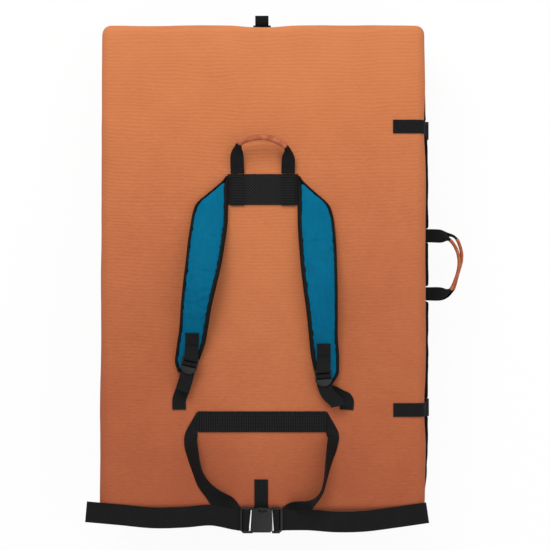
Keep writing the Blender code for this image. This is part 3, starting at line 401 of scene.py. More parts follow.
# A smooth curve through a table of places and values
def readTable(table, share):
    xs, ys = table
    last = len(xs) - 1
    i = clamp(sum(1 for x in xs if x <= share) - 1, 0, last - 1)
    slopes = []
    for k in (i, i + 1):
        before, after = max(k - 1, 0), min(k + 1, last)
        slopes.append((ys[after] - ys[before]) / (xs[after] - xs[before]))
    gap = xs[i + 1] - xs[i]
    t = clamp((share - xs[i]) / gap)
    rise = ys[i] * (2 * t ** 3 - 3 * t ** 2 + 1) + ys[i + 1] * (3 * t ** 2 - 2 * t ** 3)
    return rise + gap * (slopes[0] * (t ** 3 - 2 * t ** 2 + t) + slopes[1] * (t ** 3 - t ** 2))


# The pad: rounded halves with a low crown, the carrying face up
pad = {
    "width": 0.594, "length": 0.89, "thick": 0.089, "round": 0.016, "gap": 0.0003, "panel": 0.0018, "cell": 0.0135,
    "crown": 0.006, "groundCrown": 0.001, "groundCut": 0.0005, "sideDraw": 0.002, "ripple": 0.0009,
    "bellyFrom": 0.042, "bellyRise": 0.026, "bellyReach": 0.018, "bellyTop": 0.0042, "bellyFoot": 0.003,
    "bellyOpen": 0.0036, "bellyHinge": (0.0006, 0.0042), "groundBelly": 0.0022, "clearHalf": 0.018, "clearFade": 0.04,
}


def crownAt(x, y, ground=False):
    share = max(0, 1 - (2 * x / pad["width"]) ** 2) * max(0, 1 - (2 * y / pad["length"]) ** 2)
    if ground:
        return min(0, pad["groundCrown"] * share - pad["groundCrown"] + pad["groundCut"])
    return pad["crown"] * share


def faceZ(x, y):
    return foldZ + pad["gap"] + pad["thick"] + crownAt(x, y)


# How full the wall stands at a height above the opening: nothing low down, most near the seam, uneven along it
def bellyAt(x, y, height):
    rise = clamp((height - pad["bellyFrom"]) / pad["bellyRise"])
    rise = rise * rise * (3 - 2 * rise)
    drop = clamp((pad["thick"] + 0.004 - height) / 0.02)
    uneven = 0.85 + 0.45 * wobble(x * 13, y * 13, height * 6)
    return rise * min(1, drop * 1.2) * uneven


# From 0 at a closure's webbing to 1 beside it, so that the wall's belly leaves it free
def clearAt(off):
    return clamp((abs(off) - pad["clearHalf"]) / pad["clearFade"])


def shapePadPoint(vert, sign, wallTop):
    x, y, height = vert.co
    overX, overY = abs(x) - pad["width"] / 2, abs(y) - pad["length"] / 2
    reachX, reachY = (max(0, 1 + over / pad["bellyReach"]) for over in (overX, overY))
    onFace = clamp((height - wallTop) / pad["round"])
    onWall = max(0, 1 - abs(2 * height / wallTop - 1)) if height < wallTop else 0
    draw = pad["sideDraw"] * onWall
    ripple = 0.5 + 0.5 * wobble(x * 9, y * 6, sign * 3.1)
    pucker = 0.5 + 0.5 * wobble(x * 55, y * 55, height * 14 + sign)
    offPanel = 1 if height > pad["panel"] + 0.001 else 0
    dip = pad["ripple"] * (ripple * onFace + 0.9 * pucker * (1 - onFace) * offPanel)
    belly = bellyAt(x, y, height)
    drawX = draw * (1 - (2 * y / pad["length"]) ** 2) + dip if overX > -0.002 else 0
    drawY = draw * (1 - (2 * x / pad["width"]) ** 2) + dip if overY > -0.002 else 0
    if x > 0:
        swell = pad["bellyOpen"] * clearAt(abs(y) - closureY * mm) * max(0, 1 - (2.1 * y) ** 4)
        vert.co.x += belly * reachX * swell - drawX
    if x < 0:
        low, high = pad["bellyHinge"]
        swell = belly * reachX * (low + (high - low) * (0.5 - y / pad["length"]))
        swell = swell if sign > 0 else min(swell, pad["groundBelly"] - swell)
        vert.co.x += (dip if overX > -0.002 else 0) - swell
    bulge = belly * reachY * (pad["bellyTop"] if y > 0 else pad["bellyFoot"]) * clearAt(x - closureX * mm)
    vert.co.y += (bulge - drawY) * (1 if y > 0 else -1)
    rise = (crownAt(x, y, sign < 0) - dip) * onFace
    vert.co.z = foldZ + sign * (pad["gap"] + height + rise)


def makePadHalf(prefix, sign):
    wallTop = pad["thick"] - pad["round"]
    tall = pad["thick"] - pad["panel"]
    data = bmesh.new()
    bmesh.ops.create_cube(data, size=1)
    bmesh.ops.scale(data, verts=data.verts, vec=(pad["width"], pad["length"], tall))
    bmesh.ops.translate(data, verts=data.verts, vec=(0, 0, pad["panel"] + tall / 2))
    upper = [e for e in data.edges if max(v.co.z for v in e.verts) > tall]
    bmesh.ops.bevel(
        data, geom=upper, offset=pad["round"], segments=6, profile=0.5, affect="EDGES", material=-1, clamp_overlap=True
    )
    for axis, reach in ((east, pad["width"]), (north, pad["length"]), (up, wallTop)):
        count = round(reach / pad["cell"])
        for k in range(1, count):
            place = axis * (reach * k / count - (0 if axis == up else reach / 2))
            geom = data.verts[:] + data.edges[:] + data.faces[:]
            bmesh.ops.bisect_plane(data, geom=geom, plane_co=place, plane_no=axis, dist=1e-5)
    weld(data)
    for vert in data.verts:
        shapePadPoint(vert, sign, wallTop)
    if sign < 0:
        bmesh.ops.reverse_faces(data, faces=data.faces)
    nodes = [f"{prefix}_cover", f"{prefix}_soft_foam", f"{prefix}_firm_foam"]
    cover = finishPiece(f"{prefix}PadCover", data, coverFabric, f"{prefix}_half", nodes)
    smoother(cover)


panelForm = {"inset": 0.0004, "thick": 0.0011, "off": 0.0009, "wave": 0.0003}


def makeLandingPanel(prefix, sign):
    flatX, flatY = pad["width"] / 2 - pad["round"], pad["length"] / 2 - pad["round"]
    data = makeGrid(36, 54, 0.5)
    for vert in data.verts:
        x = vert.co.x * (pad["width"] - 2 * panelForm["inset"])
        y = vert.co.y * (pad["length"] - 2 * panelForm["inset"])
        cornerX, cornerY = abs(x) - flatX, abs(y) - flatY
        if cornerX > 0 and cornerY > 0:
            keep = min(1, pad["round"] * 0.98 / math.hypot(cornerX, cornerY))
            x = math.copysign(flatX + cornerX * keep, x)
            y = math.copysign(flatY + cornerY * keep, y)
        wave = 0.5 + 0.5 * wobble(x * 7, y * 7, sign * 5.0)
        vert.co = (x, y, foldZ + sign * (pad["gap"] + panelForm["off"] + panelForm["wave"] * wave))
    panel = finishPiece(f"{prefix}LandingPanel", data, landingLook, f"{prefix}_half", [f"{prefix}_landing_panel"])
    thicken(panel, panelForm["thick"])


for prefix, sign in halves.items():
    makePadHalf(prefix, sign)
    makeLandingPanel(prefix, sign)
print("pad halves ready")


# Webbing: rows are x, y, z, the direction across, and the width, in millimetres
class Web:
    def __init__(self, rows, thick, step=0.004, out=None):
        rows = [Vector((*(v * mm for v in row[:3]), *row[3:6], row[6] * mm)) for row in rows]
        ends = [rows[0] * 2 - rows[1]] + rows + [rows[-1] * 2 - rows[-2]]
        self.thick, self.out, self.rows = thick, out, []
        for i in range(len(rows) - 1):
            near, here, there, far = ends[i:i + 4]
            count = max(2, math.ceil((there - here).to_3d().length / step))
            self.rows += [self.between(near, here, there, far, k / count) for k in range(count)]
        self.rows.append(rows[-1])
        self.marks = [0]
        for before, after in zip(self.rows, self.rows[1:]):
            self.marks.append(self.marks[-1] + (after.to_3d() - before.to_3d()).length)
        self.length = self.marks[-1]

    # Centripetal spline between two rows, which doesn't swing out at tight folds
    def between(self, near, here, there, far, share):
        pairs = ((near, here), (here, there), (there, far))
        t1, gap, last = (max(1e-4, (b.to_3d() - a.to_3d()).length) ** 0.5 for a, b in pairs)
        t2, t3 = t1 + gap, t1 + gap + last
        t = t1 + (t2 - t1) * share
        a = near.lerp(here, t / t1)
        b = here.lerp(there, (t - t1) / (t2 - t1))
        c = there.lerp(far, (t - t2) / (t3 - t2))
        return a.lerp(b, t / t2).lerp(b.lerp(c, (t - t1) / (t3 - t1)), share)

    def row(self, i):
        return self.rows[clamp(i, 0, len(self.rows) - 1)]

    def axes(self, i):
        row = self.row(i)
        ahead = (self.row(i + 1).to_3d() - self.row(i - 1).to_3d()).normalized()
        across = Vector(row[3:6]).normalized()
        across = (across - ahead * across.dot(ahead)).normalized()
        return row.to_3d(), ahead, across, across.cross(ahead), row[6]

    def at(self, far, aside, lift=0):
        far = clamp(far, 0, self.length)
        i = clamp(sum(1 for m in self.marks if m <= far) - 1, 0, len(self.rows) - 2)
        share = (far - self.marks[i]) / max(1e-9, self.marks[i + 1] - self.marks[i])
        one, two = self.axes(i), self.axes(i + 1)
        place, ahead, across, normal = (one[k].lerp(two[k], share) for k in range(4))
        towards = self.out or (place - Vector((0, 0, foldZ))) * 0.4 + up
        if normal.dot(towards) < 0:
            normal = -normal
        return place + across * aside + normal * (self.thick / 2 + lift), ahead, across, normal


# A handle's strip rolls into a tube inside its grip: width is the tube's, full the flat strip's
rolled = {"width": 0.0054, "drop": 0.00398}


def curlPoint(aside, width, full, squash):
    share = clamp((full - width) / (full - rolled["width"]))
    if share < 0.02:
        return aside, 0
    radius = full / 2 / (math.pi * share)
    turn = aside / (full / 2) * math.pi * share
    narrow, tall = (1 + (scale - 1) * share for scale in squash)
    return radius * math.sin(turn) * narrow, (radius * (math.cos(turn) - 1) + rolled["drop"] * share ** 2) * tall


def makeWeb(node, web, look, body, stands=True, curl=0, cells=6, edge=0.0004, ragged=0, squash=(1, 1)):
    name = pieceName(node)
    count = len(web.rows) - 1
    data = makeGrid(cells, count)
    layer = data.loops.layers.uv.new("UVMap")
    frames = [web.axes(i) for i in range(count + 1)]
    spots = {}
    for vert in data.verts:
        side, i = vert.co.x, round((vert.co.y + 1) / 2 * count)
        place, ahead, across, normal, width = frames[i]
        spots[vert] = (side * (curl or width) / 2, web.marks[i])
        if curl:
            if web.out and normal.dot(web.out) < 0:
                normal = -normal
            aside, rise = curlPoint(side * curl / 2, width, curl, squash)
        else:
            aside = side * width / 2
            rise = ragged * wobble(web.marks[i] * 60, side * 3, len(name))
        vert.co = place + across * aside + normal * rise
    setUvs(data, layer, spots)
    piece = finishPiece(name, data, look, body, [node] if stands else ())
    thicken(piece, web.thick)
    soften(piece, edge)
    return piece


# Thread: short raised stitches laid on webbing or along a line
stitch = {"fat": 0.0007, "pitch": 0.003, "share": 0.74, "tackPitch": 0.0016, "tackFat": 0.0009}


def addStitch(data, place, ahead, normal, long, fat):
    ahead = ahead.normalized()
    normal = (normal - ahead * normal.dot(ahead)).normalized()
    aside = normal.cross(ahead)
    spot = Matrix((ahead * (long / 2), aside * (fat / 2), normal * (fat / 2))).transposed().to_4x4()
    spot.translation = place
    bmesh.ops.create_icosphere(data, subdivisions=1, radius=1, matrix=spot)


def sewAlong(data, web, marks, pitch=stitch["pitch"], fat=stitch["fat"], lift=0):
    run = bmesh.new()
    for (s0, u0), (s1, u1) in zip(marks, marks[1:]):
        reach = math.hypot(s1 - s0, u1 - u0)
        count = max(1, round(reach / pitch))
        for k in range(count):
            share = (k + 0.5) / count
            place, ahead, across, normal = web.at(s0 + (s1 - s0) * share, u0 + (u1 - u0) * share, lift)
            ahead = ahead * (s1 - s0) + across * (u1 - u0)
            addStitch(run, place, ahead, normal, reach / count * stitch["share"], fat)
    addPart(data, run)


def sewBox(data, web, start, end, half):
    corners = [(start, -half), (end, -half), (end, half), (start, half)]
    for marks in (corners + corners[:1], corners[::2], corners[1::2]):
        sewAlong(data, web, marks)


def sewTack(data, web, start, half, rows=1, gap=0.003):
    for k in range(rows):
        spot = start + gap * k
        sewAlong(data, web, [(spot, -half), (spot, half)], stitch["tackPitch"], stitch["tackFat"])


carryThread = bmesh.new()
backThread = bmesh.new()
seamThreads = {"carry": carryThread, "back": backThread}


# Seam bindings round three sides of each half, and the cloth hinge along the fourth
def outlineRows(z, out, tall):
    halfX, halfY = pad["width"] / 2 + out, pad["length"] / 2 + out
    bend = pad["round"] + out
    flatX, flatY = halfX - bend, halfY - bend
    spots = [(-flatX + 2 * flatX * k / 12, -halfY) for k in range(13)]
    for y, start in ((-flatY, -90), (flatY, 0)):
        turns = [math.radians(start + 15 * k) for k in range(1, 7)]
        spots += [(flatX + bend * math.cos(turn), y + bend * math.sin(turn)) for turn in turns]
        if start < 0:
            spots += [(halfX, -flatY + 2 * flatY * k / 18) for k in range(1, 19)]
    spots += [(flatX - 2 * flatX * k / 12, halfY) for k in range(1, 13)]
    return [(x / mm, y / mm, z / mm, 0, 0, 1, tall / mm) for x, y in spots]


binding = {"tall": 0.0117, "thick": 0.0031, "out": 0.0019, "level": 0.00645, "stitch": 0.0034, "stitchAt": 0.0028}

for prefix, sign in halves.items():
    web = Web(outlineRows(foldZ + sign * binding["level"], binding["out"], binding["tall"]), binding["thick"], 0.006)
    makeWeb(f"{prefix}_seam_binding", web, bindingLook, f"{prefix}_half", edge=0.0011, ragged=0.0002)
    aside = binding["stitchAt"] * sign
    sewAlong(seamThreads[prefix], web, [(0.002, aside), (web.length - 0.002, aside)], binding["stitch"])

# The binding's lip stands out along the opening side, and gives way to closures and handles; only thick is in metres
flange = {
    "inner": 299, "thick": 0.0015, "levels": {"back": 82.0, "carry": 96.6}, "start": -440, "step": 3, "rows": 276,
    "reach": (
        (-440, -415, -380, -300, -215, -120, 0, 100, 180, 234, 285, 330, 385),
        (1.0, 3.2, 6.8, 9.0, 9.4, 9.8, 10.0, 9.9, 9.4, 8.2, 5.4, 4.0, 1.0),
    ),
    "notches": ((-closureY, 17), (closureY, 17), (62.3, 14.4), (-46.7, 14.8)), "notchWidth": 0.9, "notchSlope": 5,
}
for prefix, level in flange["levels"].items():
    rows = []
    for k in range(flange["rows"]):
        y = flange["start"] + flange["step"] * k
        wide = max(1, readTable(flange["reach"], y)) * (1 + 0.1 * wobble(y * 0.045, level, 0))
        for middle, half in flange["notches"]:
            wide = min(wide, flange["notchWidth"] + flange["notchSlope"] * max(0, abs(y - middle) - half))
        sag = 0.5 * wobble(y * 0.02, level, 4)
        rows.append((flange["inner"] + wide / 2, y, level + sag, 1, 0, 0, wide))
    web = Web(rows, flange["thick"], flange["step"] * mm)
    makeWeb(f"{prefix}_seam_flange", web, bindingLook, f"{prefix}_half", stands=False, cells=4, edge=0.0006)
print("bindings ready")

hinge = {"tall": 0.0797, "thick": 0.001, "x": -0.2978, "end": 0.429, "turnAt": 0.004, "hems": (0.003, 0.007)}


def makeFoldTape():
    data = makeGrid(26, 60)
    layer = data.loops.layers.uv.new("UVMap")
    spots = {}
    for vert in data.verts:
        y, z = vert.co.y * hinge["end"], vert.co.x * hinge["tall"] / 2
        wave = wobble(y * 22, (foldZ + z) * 40, 1.5)
        spots[vert] = (z, y)
        vert.co = (hinge["x"] + 0.0002 * wave, y, foldZ + z)
    setUvs(data, layer, spots)
    tape = finishPiece("foldTape", data, coverFabric, None, ["back_fold_tape", "carry_fold_tape"])
    thicken(tape, hinge["thick"])
    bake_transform(tape)


def sewFoldTape():
    x, end = (hinge["x"] - hinge["thick"] / 2) / mm, hinge["end"] / mm - 2
    for prefix, sign in halves.items():
        data = bmesh.new()
        for inset in hinge["hems"]:
            level = (foldZ + sign * (hinge["tall"] / 2 - inset)) / mm
            line = Web([(x, y, level, 0, 0, 1, 1) for y in (-end, end)], 0, 0.05, out=-east)
            sewAlong(data, line, [(0, 0), (line.length, 0)], 0.0036, 0.0005, -0.0001)
        finishPiece(f"{prefix}HingeStitches", data, coverThread, f"{prefix}_half")


makeFoldTape()
sewFoldTape()
print("fold hinge ready")


# Closures: a strap and plug on the carry half, an anchor and socket on the back half.
# Each profile's points are the way out from the wall and the height, in millimetres
closure = {
    "width": 25, "thick": 0.0016, "step": 0.0025,
    "strap": (
        (-58.5, 181.11), (-37.3, 180.63), (-16, 180.12), (-7.5, 177.59), (-1.2, 171.18), (1.1, 162.6), (0, 120.2),
        (5.7, 106.7), (5.7, 100.7), (10.9, 100.7), (10.9, 106.7), (2.2, 121.8), (2.3, 133.7),
    ),
    "topStrap": (
        (0.4, 149.6), (-0.6, 120.2), (5.7, 106.7), (5.7, 100.7), (10.9, 100.7), (10.9, 106.7), (17.2, 109.9),
        (28.9, 111.1),
    ),
    "anchor": (
        (0.6, 29), (0, 45.9), (5.7, 59.4), (5.7, 65.4), (10.9, 65.4), (10.9, 59.4), (2.2, 44.3), (2.7, 32.4),
    ),
}
closurePlaces = {
    "right_upper": (297, closureY, east), "right_lower": (297, -closureY, east),
    "top": (closureX, 445, north), "bottom": (closureX, -445, -north),
}


def closureWeb(key, profile, facing):
    x, y, out = closurePlaces[key]
    across = (*up.cross(out), closure["width"])
    rows = [(x + out.x * outward, y + out.y * outward, level, *across) for outward, level in closure[profile]]
    return Web(rows, closure["thick"], closure["step"], out + up * facing)


def makeClosure(key):
    strap = closureWeb(key, "topStrap" if key == "top" else "strap", 0.6)
    makeWeb(f"closure_{key}_strap", strap, webbingLook, "carry_half")
    if key == "top":
        sewTack(carryThread, strap, strap.length - 0.003, 0.011)
        sewTack(carryThread, strap, 0.006, 0.011, 2, 0.004)
    else:
        sewBox(carryThread, strap, 0.002, 0.022, 0.0098)
        sewTack(carryThread, strap, strap.length - 0.009, 0.01, 3)
    anchor = closureWeb(key, "anchor", 0)
    makeWeb(f"closure_{key}_anchor", anchor, webbingLook, "back_half")
    sewTack(backThread, anchor, anchor.length - 0.009, 0.01, 3)


for key in closurePlaces:
    makeClosure(key)
print("closure webbing ready")


# Moulded parts: the CAD solid merged, then given soft edges.
# A slant's entries are x, how far slits there move, and how far they lean either way, in millimetres
buckle = {
    "y": -460, "half": 20,
    "socket": (
        (-33.6, 0, 0), (-29.6, 2.8, 1.95), (-25.4, 3.9, 1.2), (-21.5, 0.9, 1.2), (-19.2, 0.6, 0.6), (-17.1, 0, 0),
        (13.6, 0, 0), (15.9, 0.45, 0), (17, 0.45, 0),
    ),
    "plug": ((16.6, 0, 0), (19.8, -2.2, -0.3), (24, -2.3, -1.2), (28, 0, 0), (29, 0, 0)),
}


def makeMoulded(node, body, soft=0.0006, segments=2, slant=()):
    data = bmesh.new()
    data.from_mesh(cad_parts[node].data)
    weld(data)
    bmesh.ops.dissolve_limit(data, angle_limit=math.radians(2), verts=data.verts, edges=data.edges)
    for vert in data.verts:
        side = clamp((vert.co.y / mm - buckle["y"]) / buckle["half"], -1)
        for (x0, move0, lean0), (x1, move1, lean1) in zip(slant, slant[1:]):
            share = (vert.co.x / mm - x0) / (x1 - x0)
            if 0 <= share < 1:
                vert.co.x += mm * (move0 + (move1 - move0) * share + (lean0 + (lean1 - lean0) * share) * side)
                break
    piece = finishPiece(pieceName(node), data, plasticLook, body, [node])
    soften(piece, soft, segments, 30)


for key in closurePlaces:
    makeMoulded(f"closure_{key}_plug", "carry_half")
    makeMoulded(f"closure_{key}_socket", "back_half")
print("closure buckles ready")


# Yoke patch and the haul loop's anchors, laid on the crowned face
def faceRow(x, y, across, width, lift):
    z = faceZ(x * mm, y * mm) / mm + lift
    return (x, y, z, *across, width)


yoke = {
    "xs": (-65, -32.5, 0, 32.5, 65), "y": 143.8, "tall": 56.5, "thick": 0.002, "lift": 1.3, "hems": (0.0022, 0.0052),
    "anchorX": 46.25, "anchorYs": (114.2, 143.7, 170.2), "anchorLift": 3.4,
}
patchRows = [faceRow(x, yoke["y"], (0, 1, -0.008), yoke["tall"], yoke["lift"]) for x in yoke["xs"]]
patchWeb = Web(patchRows, yoke["thick"])
patch = makeWeb("yoke_patch", patchWeb, meshLook, "carry_half", cells=14, edge=0.0006)
for inset in yoke["hems"]:
    halfTall = yoke["tall"] * mm / 2 - inset
    for aside in (-halfTall, halfTall):
        sewAlong(carryThread, patchWeb, [(0.004, aside), (0.126, aside)])

for side, sign in sides.items():
    rows = [faceRow(yoke["anchorX"] * sign, y, (1, 0, 0), 25, yoke["anchorLift"]) for y in yoke["anchorYs"]]
    web = Web(rows, closure["thick"])
    makeWeb(f"haul_{side}_anchor", web, barLook, "carry_half")
    sewBox(carryThread, web, 0.002, 0.046, 0.0102)
    sewTack(carryThread, web, 0.006, 0.0098, 6, 0.0052)
print("yoke ready")

# Haul loop and side handles. A path's points are the way out, along and up from the root and the strip's width,
# in millimetres; a point of two numbers is in the rolled run
sideHandle = {"away": (1, 0, 0), "across": (0, 1, 0), "rolledUp": 4.5, "grip": (0.0032, 0.0064), "squash": (0.42, 1.2)}
handles = {
    "haul_loop": {
        "root": (0, 172.0, 186.98), "away": (0, math.cos(math.radians(25)), math.sin(math.radians(25))),
        "across": (1, 0, 0), "lift": (0, -0.42, 0.91), "rolledUp": 0, "grip": (0.0056, 0.0056), "squash": (1, 1),
        "span": (0.051, 0.1465),
        "path": (
            (0.9, 46.2, 0, 25), (14, 46.4, 0, 25), (28, 46.6, 0, 21.5), (40, 46.2, 0, 14), (49.5, 44.4, 0, 6.4),
            (54.6, 40.4), (62.6, 29), (69, 14.5), (71.6, 0), (71, -12), (68.2, -25), (64.4, -35.5),
            (59.5, -41.8, 0, 6.4), (49, -45.2, 0, 13), (36, -46.8, 0, 20.5), (20, -46.8, 0, 24.6),
            (0.9, -46.2, 0, 25),
        ),
    },
    "carry_handle": {
        **sideHandle, "root": (301.05, 7.7, 92.6), "lift": (0, 0, 1), "span": (0.0475, 0.1515),
        "path": (
            (1.5, 54.6, 0, 25), (15, 54.4, 1, 25), (32, 52.8, 3, 22.5), (42, 50.2, 4.5, 15), (48.8, 46.2, 4.5, 7),
            (56, 37.5), (62.6, 24), (65, 13.5), (65.6, 3), (64.4, -8), (61.4, -20), (57.4, -31), (53.6, -40),
            (49, -46.8, 4.5, 8), (41, -51.2, 4.5, 16), (28, -53.8, 3, 23.5), (14, -54.4, 1, 25), (1.5, -54.4, 0, 25),
        ),
    },
    "back_handle": {
        **sideHandle, "root": (301.05, 7.7, 86.0), "lift": (0, 0, -1), "span": (0.0625, 0.1665),
        "path": (
            (1.5, 54.6, 0, 25), (16, 54.8, 1, 25), (32, 55.6, 3, 21), (45, 56.6, 4.5, 11), (56, 54.2, 4.5, 5.8),
            (63.4, 47.4), (68.4, 36), (71.6, 23), (71.8, 12), (70.2, 2), (67.2, -8), (64, -19), (61, -30),
            (58.4, -39.5), (54.8, -47.2, 4.5, 7), (46.5, -53.2, 4.5, 14), (33, -55.2, 3, 22.5), (15, -54.8, 1, 25),
            (1.5, -54.4, 0, 25),
        ),
    },
}


def handleRows(shape):
    root, away, across, lift = (Vector(shape[key]) for key in ("root", "away", "across", "lift"))
    thin = (shape["rolledUp"], rolled["width"] / mm)
    path = [point if len(point) == 4 else (*point, *thin) for point in shape["path"]]
    points = [root + away * out + across * side + lift * rise for out, side, rise, width in path]
    normal = away.cross(across).normalized()
    rows = []
    last = len(points) - 1
    for i, point in enumerate(points):
        run = points[min(i + 1, last)] - points[max(i - 1, 0)]
        if i in (0, last):
            run = away if i == 0 else -away
        rows.append((*point, *run.normalized().cross(normal), path[i][3]))
    return rows


# A sleeve round the rolled run, hemmed and drawn in at both ends
def makeGrip(node, web, span, girth, body):
    near, far = span
    picks = [i for i, mark in enumerate(web.marks) if near <= mark <= far]
    steps = len(picks) - 1
    data = makeGrid(18, steps)
    for vert in data.verts:
        k = round((vert.co.y + 1) / 2 * steps)
        place, ahead, across, normal, width = web.axes(picks[k])
        turn = vert.co.x * math.pi
        hem = {0: 0.93, 1: 1.06, 2: 1.06}.get(min(k, steps - k), 1)
        crease = 1 + 0.05 * wobble(k * 0.45, math.cos(turn) * 1.3, math.sin(turn) * 1.3)
        wide, tall = (radius * hem * crease for radius in girth)
        vert.co = place + across * (math.sin(turn) * wide) + normal * (math.cos(turn) * tall)
    weld(data)
    ends = [e for e in data.edges if len(e.link_faces) == 1]
    grown = bmesh.ops.extrude_edge_only(data, edges=ends)
    for vert in grown["geom"]:
        if isinstance(vert, bmesh.types.BMVert):
            near = min(picks, key=lambda i: (web.row(i).to_3d() - vert.co).length)
            vert.co = vert.co.lerp(web.row(near).to_3d(), 0.3)
    bmesh.ops.recalc_face_normals(data, faces=data.faces)
    smoother(finishPiece(pieceName(node), data, gripLook, body, [node]))


def makeHandle(node, shape):
    web = Web(handleRows(shape), closure["thick"], 0.0022, Vector(shape["lift"]))
    makeWeb(f"{node}_webbing", web, webbingLook, node, curl=0.025, cells=12, squash=shape["squash"])
    makeGrip(f"{node}_grip", web, shape["span"], shape["grip"], node)
    thread = bmesh.new()
    for spot in (0.004, web.length - 0.01):
        sewTack(thread, web, spot, 0.01, 3)
    finishPiece(pieceName(f"{node}_stitches"), thread, threadLook, node)


for node, shape in handles.items():
    makeHandle(node, shape)
print("handles ready")


# Shoulder straps: padded blue face, rolled black binding, black underside
strapForm = {
    "stations": (0, 0.025, 0.08, 0.135, 0.19, 0.24, 0.33, 0.44, 0.55, 0.66, 0.775, 0.85, 0.90, 0.95, 1),
    "widths": (0.06, 0.16, 0.50, 0.84, 0.95, 0.99, 1, 0.97, 0.91, 0.83, 0.77, 0.76, 0.71, 0.62, 0.29),
    "leans": (0, 0, 0, 0, 0.01, 0.02, 0.10, 0.22, 0.40, 0.60, 0.76, 0.87, 1, 1.17, 1.53),
    "width": 0.068, "topY": 0.168, "innerX": 0.0633, "archFrom": 0.155, "off": 0.0006, "first": 0.034, "last": 0.985,
    "faceThick": 0.006, "faceLevel": 0.0088, "swell": 0.005, "fullWidth": 0.05, "move": 0.0013,
    "tabY": {"left": -0.112, "right": -0.131}, "backThick": 0.0012, "backSag": 0.0024,
    "innerTape": 0.0088, "outerTape": 0.0058, "tapeLevel": 0.0062, "tapeTall": 0.0048,
}
strapSides = {
    "left": {"length": 0.358, "lean": 0.047, "arch": 0.036}, "right": {"length": 0.382, "lean": 0.0277, "arch": 0.022},
}


# A strap's place by share of its length from the top, and by -1 at the inner edge to 1 at the outer
class StrapLine:
    def __init__(self, side):
        self.side, self.sign = strapSides[side], sides[side]
        xs = strapForm["stations"]
        arched = [max(0, (s - strapForm["archFrom"]) / (1 - strapForm["archFrom"])) for s in xs]
        self.lifts = (xs, [self.side["arch"] * math.sin(math.pi * a) ** 2 for a in arched])

    def width(self, share):
        return strapForm["width"] * readTable((strapForm["stations"], strapForm["widths"]), share)

    def point(self, share, across, height, inset=0):
        width = max(0.002, self.width(share))
        inset *= min(1, width / 0.03) if share < 0.3 else 1
        inner = strapForm["innerX"] + self.side["lean"] * readTable((strapForm["stations"], strapForm["leans"]), share)
        y = strapForm["topY"] - self.side["length"] * share
        low, high = inner + strapForm["innerTape"] * inset, inner + width - strapForm["outerTape"] * inset
        x = self.sign * ((low + high) / 2 + (high - low) / 2 * across)
        base = faceZ(self.sign * (inner + width / 2), y) + strapForm["off"] + max(0, readTable(self.lifts, share))
        return Vector((x, y, base + height))


def bakeShape(piece):
    graph = bpy.context.evaluated_depsgraph_get()
    mesh = bpy.data.meshes.new_from_object(piece.evaluated_get(graph))
    piece.modifiers.clear()
    piece.data = mesh


puff = {
    "voxel": 0.0036, "steps": 20, "heldBelow": 0.35,
    "cloth": {"use_pressure": True, "uniform_pressure_force": 4, "shrink_min": -0.06, "quality": 6},
}


# Padded cloth: a remeshed shell swells under pressure, and no point moves further than its cap
def inflate(piece, capAt):
    bakeShape(piece)
    modify(piece, "shell", "REMESH", mode="VOXEL", voxel_size=puff["voxel"])
    bakeShape(piece)
    held = [v.index for v in piece.data.vertices if v.normal.z < puff["heldBelow"]]
    piece.vertex_groups.new(name="held").add(held, 1, "REPLACE")
    cloth = modify(piece, "cloth", "CLOTH")
    for key, value in puff["cloth"].items():
        setattr(cloth.settings, key, value)
    cloth.settings.vertex_group_mass = "held"
    cloth.settings.effector_weights.gravity = 0
    cloth.point_cache.frame_start = 1
    cloth.point_cache.frame_end = puff["steps"]
    for step in range(1, puff["steps"] + 1):
        bpy.context.scene.frame_set(step)
    graph = bpy.context.evaluated_depsgraph_get()
    settled = [v.co.copy() for v in piece.evaluated_get(graph).data.vertices]
    piece.modifiers.clear()
    for vert, goal in zip(piece.data.vertices, settled):
        move = goal - vert.co
        cap = capAt(vert.co)
        if move.length > cap:
            move *= cap / move.length
        vert.co += move
    piece.vertex_groups.clear()
    piece.data.shade_smooth()
    smoother(piece)
    bpy.context.scene.frame_set(1)
    print(piece.name, "swelled,", len(settled), "points")


def makeStrap(side):
    line = StrapLine(side)
    data = makeGrid(14, 90)
    for vert in data.verts:
        share = strapForm["first"] + (strapForm["last"] - strapForm["first"]) * (1 - vert.co.y) / 2
        across = vert.co.x
        dent = wobble(across * 1.6, share * 9, line.sign)
        swell = (1 - abs(across) ** 3.2) * (strapForm["swell"] + 0.0006 * dent)
        swell *= min(1, line.width(share) / strapForm["fullWidth"])
        vert.co = line.point(share, across, strapForm["faceLevel"] + swell, 0.66)
    nodes = [f"{side}_strap_face", f"{side}_strap_foam"]
    face = finishPiece(f"{side}StrapFace", data, strapFabric, "carry_half", nodes)
    thicken(face, strapForm["faceThick"], -line.sign)
    tabY = strapForm["tabY"][side]
    inflate(face, lambda co: strapForm["move"] * clamp((co.y - tabY) / 0.03, 0.12))

    data = makeGrid(12, 90)
    for vert in data.verts:
        sag = strapForm["backSag"] * abs(vert.co.x) ** 3
        vert.co = line.point((1 - vert.co.y) / 2, vert.co.x * 0.97, strapForm["off"] + sag)
    under = finishPiece(f"{side}StrapBack", data, landingLook, "carry_half", [f"{side}_strap_shell"])
    thicken(under, strapForm["backThick"])
    makeStrapBinding(side, line)


